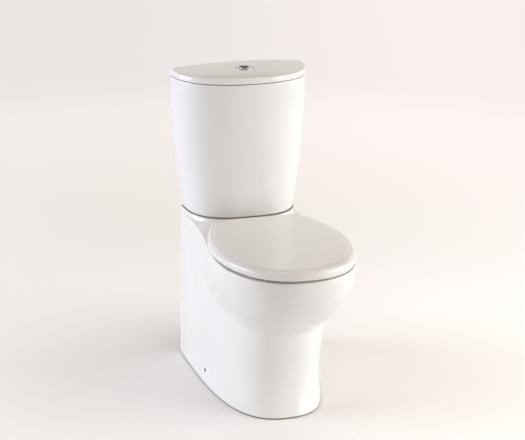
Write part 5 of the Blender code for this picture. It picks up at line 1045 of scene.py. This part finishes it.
def make_seat_lid(sizes):
    """Wrap-over lid: an outer skin with a broad edge and a low crown, and an inner skin below.

    The edge is drawn in further at the sides than at the tip, and least at the back.
    """
    edge = sizes.seat_round
    rim = SEAT_TOP - sizes.seat_crown
    outer = rounded([(0.0040, SEAT_BASE), (0.0, SEAT_BASE), (0.0, rim), (edge * 2, rim + 0.0001)],
                    [0, 0.0014, edge, 0], 14)[1:-1]
    rows = [(inset, 1.0, height) for inset, height in outer]
    for scale in np.concatenate([np.linspace(0.98, 0.7, 10), np.linspace(0.6, 0.05, 12)]):
        rows.append((edge, scale, rim + sizes.seat_crown * (1 - scale ** 2)))
    ceiling = SEAT_TOP - SEAT_SHELL
    inner = rounded([(0.0, SEAT_BASE), (SEAT_SHELL, SEAT_BASE), (SEAT_SHELL, ceiling),
                     (0.03, ceiling)], [0, 0.0014, 0.0085, 0], 8)[1:-1]
    under = [(0.012, scale, ceiling) for scale in (0.06, 0.3, 0.6, 0.85, 0.97)]
    under += [(inset, 1.0, height) for inset, height in inner[::-1]]
    inset, scale, height = np.array(under + rows).T
    outside = np.arange(len(inset)) >= len(under)
    corner = np.where(outside, 0.034 - inset, 0.030 - inset)
    x, distance = seat_outline(inset, SEAT_BACK + np.where(outside, inset * 0.36, inset), corner,
                               np.where(outside, inset * sizes.seat_side_round / edge, inset))
    middle = 0.40
    x, distance = x * scale[:, None], middle + (distance - middle) * scale[:, None]
    lid = loft("seat_lid_shell", at(x, distance, height[:, None]))
    barrels, webs, holes, notches = [], [], [], []
    for side in (-1, 1):
        start = side * (HINGE_X + 0.012)
        end = start + side * 0.0155
        barrels.append(hinge_lathe("lid_barrel", 0.0070, start, end, 0.0008))
        webs.append(box_body("lid_web", (start + side * 0.0003, WALL_Y - HINGE_DISTANCE - 0.0035,
                                         HINGE_HEIGHT),
                             (end - side * 0.0003, WALL_Y - HINGE_DISTANCE + 0.0035,
                              ceiling + 0.002)))
        holes.append(hinge_lathe("pin_hole", 0.0033, start - side * 0.01, end + side * 0.01,
                                 sides=40))
        notches.append(box_body("lid_notch", (side * (HINGE_X - 0.0135), WALL_Y - SEAT_BACK + 0.01,
                                              SEAT_BASE - 0.01),
                                (side * (HINGE_X + 0.0135), WALL_Y - SEAT_BACK - 0.0062,
                                 HINGE_HEIGHT + 0.0055)))
    join_and_cut(lid, [("UNION", merge_objects("lid_barrels", barrels)),
                       ("UNION", merge_objects("lid_webs", webs)),
                       ("DIFFERENCE", merge_objects("lid_pin_holes", holes)),
                       ("DIFFERENCE", merge_objects("lid_notches", notches))])
    return dress(lid, finish_of("seat_plastic"), "seat_lid", ["seat_lid"])


def make_seat_ring(sizes):
    """Ring: one closed section, rounded outside and dished inside, carried round the opening.

    point = outer + (inner - outer) * share, at base + thickness * rise of the section.
    """
    back = SEAT_BACK + 0.0292
    x0, d0 = seat_outline(0.0075, back, 0.012, 0.0075)
    x0, d0 = x0[0], d0[0]
    turn = -TURN / 4 + TURN * np.arange(len(x0)) / len(x0)
    across, out = np.cos(turn), np.sin(turn)
    reach = np.where(out > 0, 0.150, 0.115)
    x1 = np.sign(across) * 0.108 * np.abs(across) ** (2 / BASIN_POWER)
    d1 = BASIN_CENTRE + np.sign(out) * reach * np.abs(out) ** (2 / BASIN_POWER)
    thick = 0.0176
    dish = 1 - sizes.ring_drop / thick
    section = rounded([(0.0, 0.0), (0.0, 1.0), (0.55, 1.0), (1.0, dish), (1.0, 0.0)],
                      [0.04, 0.22, 0.8, 0.16, 0.12], 8, closed=True)
    share, rise = section[:, 0, None], section[:, 1, None]
    points = at(x0 + (x1 - x0) * share, d0 + (d1 - d0) * share, SEAT_BASE + thick * rise)
    ring = loft("seat_ring_body", points, loop=True)
    barrels, webs, holes = [], [], []
    for side in (-1, 1):
        end = side * (HINGE_X - 0.012)
        start = end - side * 0.0190
        barrels.append(hinge_lathe("ring_barrel", 0.0070, start, end, 0.0008))
        webs.append(box_body("ring_web", (start + side * 0.0003, WALL_Y - HINGE_DISTANCE,
                                          HINGE_HEIGHT - 0.0035),
                             (end - side * 0.0003, WALL_Y - back - 0.012,
                              HINGE_HEIGHT + 0.0035)))
        holes.append(hinge_lathe("pin_hole", 0.0033, start - side * 0.01, end + side * 0.01,
                                 sides=40))
    join_and_cut(ring, [("UNION", merge_objects("ring_barrels", barrels)),
                        ("UNION", merge_objects("ring_webs", webs)),
                        ("DIFFERENCE", merge_objects("ring_pin_holes", holes))])
    return dress(ring, finish_of("seat_plastic"), "seat_ring", ["seat_ring"])


# Push button

def make_bezel(sizes):
    """Chromed cup in the lid: a lathe profile with a rounded flange and two rod holes."""
    low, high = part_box("button_bezel")
    top, base = high.z, high.z - 0.0024
    profile = rounded([(0, low.z + 0.004), (0.0165, low.z + 0.004), (0.0165, top), (0.0235, top),
                       (0.0235, base), (0.0195, base), (0.0195, low.z), (0, low.z)],
                      [0, 0.001, 0.0009, 0.0016, 0.0003, 0.0004, 0.001, 0], 6)
    bezel = lathe("chrome_bezel", profile, (0, BUTTON_DISTANCE, 0), sides=96)
    holes = [lathe("rod_hole", [(0, low.z - 0.01), (0.0022, low.z - 0.01), (0.0022, low.z + 0.014),
                                (0, low.z + 0.014)], (side * 0.0135, BUTTON_DISTANCE, 0), sides=24)
             for side in (-1, 1)]
    join_and_cut(bezel, [("DIFFERENCE", merge_objects("rod_holes", holes))])
    return dress(bezel, finish_of("chrome"), "cistern_lid", ["button_bezel"])


def make_buttons(sizes):
    """Two halves of a round dished button: discs whose x is clipped at the split."""
    made = []
    for name, body, side in (("full_flush_button", "full_button", -1),
                             ("half_flush_button", "half_button", 1)):
        low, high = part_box(name)
        radius, round_off, dish = 0.0160, 0.0008, sizes.button_dish
        profile = rounded([(0, low.z), (radius, low.z), (radius, high.z), (0, high.z)],
                          [0, 0.0004, round_off, 0], 6)[1:-1]
        span = np.linspace(0.94, 0.02, 14)
        crown = high.z - dish * (1 - span ** 2.0)
        profile = np.concatenate([[(0.0005, low.z)], profile,
                                  np.stack([(radius - round_off) * span, crown], 1)])
        turn = np.linspace(0, TURN, 96, endpoint=False)[None, :]
        x = profile[:, :1] * np.cos(turn)
        y = profile[:, :1] * np.sin(turn)
        edge = 0.003 + side * 0.0005
        soft = np.clip((profile[:, 1:] - (high.z - round_off)) / round_off, 0, 1) ** 2 * 0.0004
        limit = edge + side * soft
        x = np.maximum(x, limit) if side > 0 else np.minimum(x, limit)
        points = np.stack([x, WALL_Y - BUTTON_DISTANCE + y, profile[:, 1:] + 0 * x], axis=-1)
        item = loft("chrome_" + name, points)
        made.append(dress(item, finish_of("chrome"), body, [name], 28))
    return made


# Turned and small pieces

def make_turned(name, slot, body, profile, centre, axis="Z", sides=56, loop=False, sharp=32):
    """Lathe piece that stands for one turned solid."""
    item = lathe("smooth_" + name, profile, centre, axis, sides, loop)
    return dress(item, finish_of(slot), body, [name], sharp)


def washer_profile(inner, outer, low, high, edge):
    """Rounded square section of a washer or a ring."""
    return rounded([(outer, high), (outer, low), (inner, low), (inner, high)], [edge] * 4, 3, True)


def make_hinges():
    """Posts with a barrel, a neck and a round flange, their pins, studs and washers."""
    for side, tag in ((-1, "left"), (1, "right")):
        x = side * HINGE_X
        low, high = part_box("hinge_post_" + tag)
        post = hinge_lathe("chrome_hinge_post_" + tag, 0.0070, low.x, high.x, 0.0009, 56)
        neck = box_body("neck", (low.x + 0.0003, WALL_Y - STUD_DISTANCE - 0.005, low.z + 0.0013),
                        (high.x - 0.0003, WALL_Y - STUD_DISTANCE + 0.005, HINGE_HEIGHT - 0.0003),
                        0.0010)
        flange = lathe("flange", rounded([(0, low.z), (0.0105, low.z), (0.0105, low.z + 0.0026),
                                          (0, low.z + 0.0026)], [0, 0.0003, 0.0012, 0], 4),
                       (x, STUD_DISTANCE, 0), sides=48)
        pin_hole = hinge_lathe("pin_hole", 0.0033, low.x - 0.01, high.x + 0.01)
        socket = lathe("socket", [(0, low.z - 0.01), (0.0038, low.z - 0.01), (0.0038, 0.4283),
                                  (0, 0.4283)], (x, STUD_DISTANCE, 0), sides=32)
        join_and_cut(post, [("UNION", neck), ("UNION", flange), ("DIFFERENCE", pin_hole),
                            ("DIFFERENCE", socket)])
        dress(post, finish_of("chrome"), "toilet", ["hinge_post_" + tag])
        low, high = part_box("hinge_pin_" + tag)
        make_turned("hinge_pin_" + tag, "chrome", "toilet",
                    rounded([(0, low.x), (0.003, low.x), (0.003, high.x), (0, high.x)],
                            [0, 0.0005, 0.0005, 0], 3), (0, HINGE_DISTANCE, HINGE_HEIGHT), "X", 40)
        low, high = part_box("hinge_stud_" + tag)
        make_turned("hinge_stud_" + tag, "chrome", "toilet",
                    rounded([(0, low.z), (0.0035, low.z), (0.0035, high.z), (0, high.z)],
                            [0, 0.0006, 0.0004, 0], 3), (x, STUD_DISTANCE, 0), sides=40)
        low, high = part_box("hinge_washer_" + tag)
        make_turned("hinge_washer_" + tag, "buffer_rubber", "toilet",
                    washer_profile(0.0038, 0.0105, low.z, high.z, 0.0002), (x, STUD_DISTANCE, 0),
                    loop=True)


def make_buffers():
    """Soft feet under the ring and the lid: a disc with a domed foot."""
    for name, item in list(frame["nodes"].items()):
        if "buffer" not in name:
            continue
        low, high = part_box(name)
        radius = (high.x - low.x) / 2
        edge = (high.z - low.z) * 0.35
        profile = rounded([(0, high.z), (radius, high.z), (radius, low.z), (0, low.z)],
                          [0, 0.0004, edge, 0], 6)
        body = "seat_lid" if name.startswith("lid") else "seat_ring"
        centre = ((low.x + high.x) / 2, WALL_Y - (low.y + high.y) / 2, 0)
        make_turned(name, "buffer_rubber", body, profile, centre, sides=48)


def make_valves():
    """Turned pieces of the flush valve and fill valve, from the heights of their solids."""
    spot = (0, BUTTON_DISTANCE, 0)
    for name, slot, body, inner, outer, edge in (
        ("flush_valve_washer", "rubber", "toilet", 0.0303, 0.0370, 0.0004),
        ("flush_valve_backnut", "valve_plastic", "toilet", 0.0303, 0.0400, 0.0012),
        ("bezel_nut", "valve_plastic", "cistern_lid", 0.0198, 0.0260, 0.0010),
        ("flush_valve_seal", "rubber", "flush_seal", 0.0075, 0.0280, 0.0008),
        ("flush_valve_float", "tinted_plastic", "flush_seal", 0.0098, 0.0285, 0.0025),
    ):
        low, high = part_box(name)
        make_turned(name, slot, body, washer_profile(inner, outer, low.z, high.z, edge), spot,
                    sides=72, loop=True)
    low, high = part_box("coupling_doughnut")
    make_turned("coupling_doughnut", "rubber", "toilet",
                rounded([(0.047, high.z), (0.0515, high.z - 0.004), (0.0515, low.z),
                         (0.0425, low.z), (0.0425, high.z)], [0.001, 0.002, 0.001, 0.001, 0.001],
                        4, True), spot, sides=72, loop=True)
    low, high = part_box("flush_valve_base")
    flange = high.z - 0.0085
    make_turned("flush_valve_base", "valve_plastic", "toilet",
                rounded([(0.0285, high.z), (0.0285, flange), (0.038, flange),
                         (0.038, flange - 0.0042), (0.030, flange - 0.0042), (0.030, low.z),
                         (0.0245, low.z), (0.0245, high.z)],
                        [0.0008, 0.0008, 0.0008, 0.0006, 0.0006, 0.0006, 0.0006, 0.0008], 3, True),
                spot, sides=72, loop=True)
    low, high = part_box("overflow_tube")
    make_turned("overflow_tube", "valve_plastic", "flush_seal",
                rounded([(0.0095, high.z), (0.0095, low.z + 0.0045), (0.0265, low.z + 0.00225),
                         (0.0265, low.z), (0.0075, low.z), (0.0075, high.z)],
                        [0.0004, 0.003, 0.0006, 0.0004, 0.0004, 0.0004], 3, True),
                spot, sides=56, loop=True)
    fill = (FILL_X, FILL_DISTANCE, 0)
    for name, slot, inner, outer, edge in (
        ("fill_valve_washer", "rubber", 0.0106, 0.0150, 0.0004),
        ("fill_valve_backnut", "brass", 0.0106, 0.0165, 0.0010),
    ):
        low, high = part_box(name)
        make_turned(name, slot, "toilet", washer_profile(inner, outer, low.z, high.z, edge), fill,
                    sides=56, loop=True)
    low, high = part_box("fill_valve_body")
    flange = 0.4458
    make_turned("fill_valve_body", "valve_plastic", "toilet",
                rounded([(0, high.z), (0.008, high.z), (0.008, flange), (0.0155, flange),
                         (0.0155, flange - 0.003), (0.0103, flange - 0.003), (0.0103, low.z),
                         (0.005, low.z), (0.005, low.z + 0.130), (0, low.z + 0.130)],
                        [0, 0.0006, 0.0008, 0.0006, 0.0004, 0.0006, 0.0008, 0.0004, 0, 0], 3),
                fill, sides=48)
    for tag, rod_body in (("full_flush_rod", "full_button"), ("half_flush_rod", "half_button"),
                          ("fill_valve_link", "fill_float")):
        low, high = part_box(tag)
        radius = (high.x - low.x) / 2
        make_turned(tag, "valve_plastic", rod_body,
                    rounded([(0, low.z), (radius, low.z), (radius, high.z), (0, high.z)],
                            [0, 0.0004, 0.0004, 0], 3),
                    ((low.x + high.x) / 2, WALL_Y - (low.y + high.y) / 2, 0), sides=28)


def make_fixings():
    """Coupling bolts and washers, floor screws and cupped flank screws, as turned pieces."""
    for side, tag in ((-1, "left"), (1, "right")):
        spot = (side * COUPLING_X, BUTTON_DISTANCE, 0)
        low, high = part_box("coupling_bolt_" + tag)
        head = high.z - 0.005
        make_turned("coupling_bolt_" + tag, "brass", "toilet",
                    rounded([(0, high.z), (0.0085, high.z - 0.0025), (0.0085, head),
                             (0.0038, head), (0.0038, low.z), (0, low.z)],
                            [0, 0.001, 0.0004, 0.0003, 0.0008, 0], 4), spot, sides=48)
        low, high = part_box("coupling_cone_washer_" + tag)
        make_turned("coupling_cone_washer_" + tag, "rubber", "toilet",
                    rounded([(0.0085, high.z), (0.0125, low.z + 0.00325), (0.0125, low.z),
                             (0.0041, low.z), (0.0041, high.z)],
                            [0.0006, 0.0008, 0.0004, 0.0004, 0.0004], 3, True), spot, loop=True)
        low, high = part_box("coupling_flat_washer_" + tag)
        make_turned("coupling_flat_washer_" + tag, "brass", "toilet",
                    washer_profile(0.0041, 0.011, low.z, high.z, 0.0003), spot, loop=True)
        low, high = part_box("floor_screw_" + tag)
        centre = ((low.x + high.x) / 2, WALL_Y - (low.y + high.y) / 2, 0)
        head = high.z - 0.0045
        make_turned("floor_screw_" + tag, "zinc_steel", "toilet",
                    rounded([(0, high.z), (0.0065, high.z - 0.00225), (0.0065, head),
                             (0.0035, head), (0.0035, low.z), (0, low.z)],
                            [0, 0.0012, 0.0003, 0.0002, 0.0003, 0], 4), centre, sides=40)
        low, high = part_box("flank_screw_" + tag)
        face, tail = (low.x, high.x) if side < 0 else (high.x, low.x)
        mouth = side * (column_half_width(0.2253, 0.0412) - 0.0005)
        place = (0, WALL_Y - (low.y + high.y) / 2, (low.z + high.z) / 2)
        screw = make_turned("flank_screw_" + tag, "zinc_steel", "toilet",
                    rounded([(0, face - side * 0.0006), (0.0012, face - side * 0.0006),
                             (0.0018, face), (0.0034, face), (0.0044, face - side * 0.0008),
                             (0.0047, mouth), (0.0053, mouth), (0.0053, face - side * 0.0028),
                             (0.003, face - side * 0.0028), (0.003, tail), (0, tail)],
                            [0, 0.0002, 0.0002, 0.0004, 0.0002, 0.0002, 0.0002, 0.0002, 0.0002,
                             0.0003, 0], 3), place, "X", 40)
        # painted shade: the flank screws are made near black to stand for the dark inside their
        # recesses
        screw.data.materials[0] = finish_of("painted_recess_shade")


def smooth_shade(item):
    """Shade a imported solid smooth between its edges, by a small geometry node tree."""
    name = "smooth_between_edges"
    group = bpy.data.node_groups.get(name)
    if group is None:
        group = bpy.data.node_groups.new(name, "GeometryNodeTree")
        group.interface.new_socket("Geometry", in_out="INPUT", socket_type="NodeSocketGeometry")
        group.interface.new_socket("Geometry", in_out="OUTPUT", socket_type="NodeSocketGeometry")
        nodes, links = group.nodes, group.links
        source, drain = nodes.new("NodeGroupInput"), nodes.new("NodeGroupOutput")
        merge = nodes.new("GeometryNodeMergeByDistance")
        merge.inputs["Distance"].default_value = 0.00001
        angle = nodes.new("GeometryNodeInputMeshEdgeAngle")
        compare = nodes.new("FunctionNodeCompare")
        compare.data_type = "FLOAT"
        compare.operation = "LESS_THAN"
        compare.inputs[1].default_value = math.radians(32)
        faces = nodes.new("GeometryNodeSetShadeSmooth")
        edges = nodes.new("GeometryNodeSetShadeSmooth")
        edges.domain = "EDGE"
        links.new(source.outputs[0], merge.inputs["Geometry"])
        links.new(merge.outputs[0], faces.inputs["Geometry"])
        links.new(faces.outputs[0], edges.inputs["Geometry"])
        links.new(angle.outputs["Unsigned Angle"], compare.inputs[0])
        links.new(compare.outputs[0], edges.inputs["Shade Smooth"])
        links.new(edges.outputs[0], drain.inputs[0])
    step = item.modifiers.new("smooth between edges", "NODES")
    step.node_group = group


def dress_solids():
    """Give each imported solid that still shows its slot's finish and smooth shading."""
    slots = {part["node"]: part["material_slot"] for part in frame["record"]["subparts"]}
    for name, item in frame["nodes"].items():
        slot = slots.get(name)
        if item.hide_render or slot is None:
            continue
        finish = finish_of(slot)
        if not item.material_slots:
            item.data.materials.append(finish)
        for holder in item.material_slots:
            holder.material = finish
        smooth_shade(item)


# Operators

class TOILET_OT_pan(bpy.types.Operator):
    """Build the china pan."""

    bl_idname = "toilet.pan"
    bl_label = "China pan"

    def execute(self, context):
        make_pan(context.scene.toilet_sizes)
        return {"FINISHED"}


class TOILET_OT_cistern(bpy.types.Operator):
    """Build the china cistern and its lid."""

    bl_idname = "toilet.cistern"
    bl_label = "Cistern and lid"

    def execute(self, context):
        make_cistern(context.scene.toilet_sizes)
        make_cistern_lid(context.scene.toilet_sizes)
        return {"FINISHED"}


class TOILET_OT_button(bpy.types.Operator):
    """Build the push button in the cistern lid."""

    bl_idname = "toilet.button"
    bl_label = "Push button"

    def execute(self, context):
        make_bezel(context.scene.toilet_sizes)
        make_buttons(context.scene.toilet_sizes)
        return {"FINISHED"}


class TOILET_OT_seat(bpy.types.Operator):
    """Build the seat ring, its lid, their buffers and the hinges."""

    bl_idname = "toilet.seat"
    bl_label = "Seat and hinges"

    def execute(self, context):
        make_seat_lid(context.scene.toilet_sizes)
        make_seat_ring(context.scene.toilet_sizes)
        make_buffers()
        make_hinges()
        return {"FINISHED"}


class TOILET_OT_valves(bpy.types.Operator):
    """Build the turned pieces of both valves."""

    bl_idname = "toilet.valves"
    bl_label = "Valves"

    def execute(self, context):
        make_valves()
        return {"FINISHED"}


class TOILET_OT_fixings(bpy.types.Operator):
    """Build the bolts, washers and screws, and finish the solids that still show."""

    bl_idname = "toilet.fixings"
    bl_label = "Fixings and other solids"

    def execute(self, context):
        make_fixings()
        dress_solids()
        return {"FINISHED"}


class TOILET_OT_stage(bpy.types.Operator):
    """Set the floor, the light and the camera."""

    bl_idname = "toilet.stage"
    bl_label = "Floor, light and camera"

    def execute(self, context):
        make_floor()
        make_light()
        make_camera()
        context.scene.view_settings.view_transform = "Standard"
        return {"FINISHED"}


def make_floor():
    """Wide round floor: rings of growing radius in one flat grid."""
    radius = np.concatenate([[0.02], np.geomspace(0.3, 40.0, 24)])[:, None]
    turn = np.linspace(0, TURN, 72, endpoint=False)[None, :]
    points = np.stack([radius * np.cos(turn), radius * np.sin(turn), 0 * radius * turn - 0.0002],
                      axis=-1)
    rows, columns = points.shape[:2]
    faces = ring_faces(rows, columns) + [list(range(columns))]
    mesh = bpy.data.meshes.new("studio_floor")
    mesh.from_pydata(points.reshape(-1, 3), [], faces)
    floor = bpy.data.objects.new("studio_floor", mesh)
    bpy.context.scene.collection.objects.link(floor)
    # tones of the floor's painted light, near, middle and far, each for the left and the right
    mesh.materials.append(floor_finish(
        (0.86, 0.845, 0.83), ((0.01, 0.01, 0.01), (0.17, 0.145, 0.14)),
        ((0.235, 0.221, 0.208), (0.325, 0.317, 0.311)),
        ((0.83, 0.79, 0.768), (0.935, 0.870, 0.845)),
    ))


def make_lamp(name, turn, rise, reach, size, power, tone):
    """Soft rectangular lamp, by its turn from the front, its rise and its reach in metres."""
    data = bpy.data.lights.new(name, "AREA")
    data.shape = "RECTANGLE"
    data.size, data.size_y = size
    data.energy = power
    data.color = tone
    lamp = bpy.data.objects.new(name, data)
    bpy.context.scene.collection.objects.link(lamp)
    turn, rise = math.radians(turn), math.radians(rise)
    way = Vector((math.sin(turn) * math.cos(rise), -math.cos(turn) * math.cos(rise),
                  math.sin(rise)))
    aim = way.to_track_quat("Z", "Y").to_matrix().to_4x4()
    lamp.matrix_world = Matrix.Translation(Vector((0, 0, 0.42)) + way * reach) @ aim
    lamp.visible_camera = False
    return lamp


def make_light():
    """Soft warm room light, a cool lamp on the left, broad lamps on the right and one behind."""
    room = Sky("studio")
    height = room.node("ShaderNodeSeparateXYZ", {"Vector": room.place}, output="Z")
    low = room.blend(height.smooth(0.04, 0.28), (0.90, 0.845, 0.82), (1.0, 0.95, 0.92))
    sweep = room.blend(height.smooth(0.37, 0.50), low, (0.04, 0.035, 0.03))
    warm = room.node("ShaderNodeBackground", {"Color": (1.0, 0.78, 0.56, 1.0), "Strength": 0.24})
    plain = room.node("ShaderNodeBackground", {"Color": sweep, "Strength": 1.0})
    room.show(room.node("ShaderNodeMixShader", {0: seen_directly(room), 1: warm, 2: plain}))
    make_lamp("left_softbox", -104, 12, 3.2, (2.2, 2.6), 103, (0.80, 0.87, 1.0))
    make_lamp("right_softbox", 66, 14, 3.0, (3.0, 2.8), 98, (0.94, 0.98, 1.0))
    make_lamp("top_softbox", 0, 80, 3.0, (2.4, 2.4), 14, (1.0, 0.97, 0.94))
    for lamp in (make_lamp("back_softbox", 172, 18, 4.0, (2.4, 1.4), 15, (1.0, 0.97, 0.94)),
                 make_lamp("low_fill", 5, -2, 3.0, (2.5, 0.5), 16, (1.0, 1.0, 1.0))):
        lamp.visible_glossy = False


def make_camera():
    """Camera at the photograph's place, turned by the axes that fit its edges."""
    data = bpy.data.cameras.new("camera")
    data.sensor_width = 36.0
    data.sensor_fit = "HORIZONTAL"
    data.lens = 116.046
    data.clip_end = 100.0
    camera = bpy.data.objects.new("camera", data)
    bpy.context.scene.collection.objects.link(camera)
    right = Vector((0.949765, -0.312377, 0.019174))
    up = Vector((0.084458, 0.314819, 0.945387))
    back = Vector((-0.301354, -0.896275, 0.325387))
    turn = Matrix((right, up, back)).transposed().to_4x4()
    camera.matrix_world = Matrix.Translation((-1.31561, -3.84670, 1.87257)) @ turn
    bpy.context.scene.camera = camera


STEPS = (TOILET_OT_pan, TOILET_OT_cistern, TOILET_OT_button, TOILET_OT_seat, TOILET_OT_valves,
         TOILET_OT_fixings, TOILET_OT_stage)


class TOILET_PT_panel(bpy.types.Panel):
    """Sizes, colours and building steps of the toilet."""

    bl_idname = "TOILET_PT_panel"
    bl_label = "Toilet"
    bl_space_type = "VIEW_3D"
    bl_region_type = "UI"
    bl_category = "Toilet"

    def draw(self, context):
        for group in (context.scene.toilet_sizes, context.scene.toilet_colours):
            column = self.layout.column(align=True)
            for key in group.bl_rna.properties.keys():
                if key not in ("rna_type", "name"):
                    column.prop(group, key)
        column = self.layout.column(align=True)
        for step in STEPS:
            column.operator(step.bl_idname)


CLASSES = (ToiletSizes, ToiletColours) + STEPS + (TOILET_PT_panel,)


def register():
    for kind in CLASSES:
        bpy.utils.register_class(kind)
    bpy.types.Scene.toilet_sizes = PointerProperty(type=ToiletSizes)
    bpy.types.Scene.toilet_colours = PointerProperty(type=ToiletColours)


def unregister():
    del bpy.types.Scene.toilet_colours
    del bpy.types.Scene.toilet_sizes
    for kind in reversed(CLASSES):
        bpy.utils.unregister_class(kind)


def main():
    """Register, and build everything in order."""
    register()
    for step in STEPS:
        group, name = step.bl_idname.split(".")
        getattr(getattr(bpy.ops, group), name)()


if __name__ == "__main__":
    main()
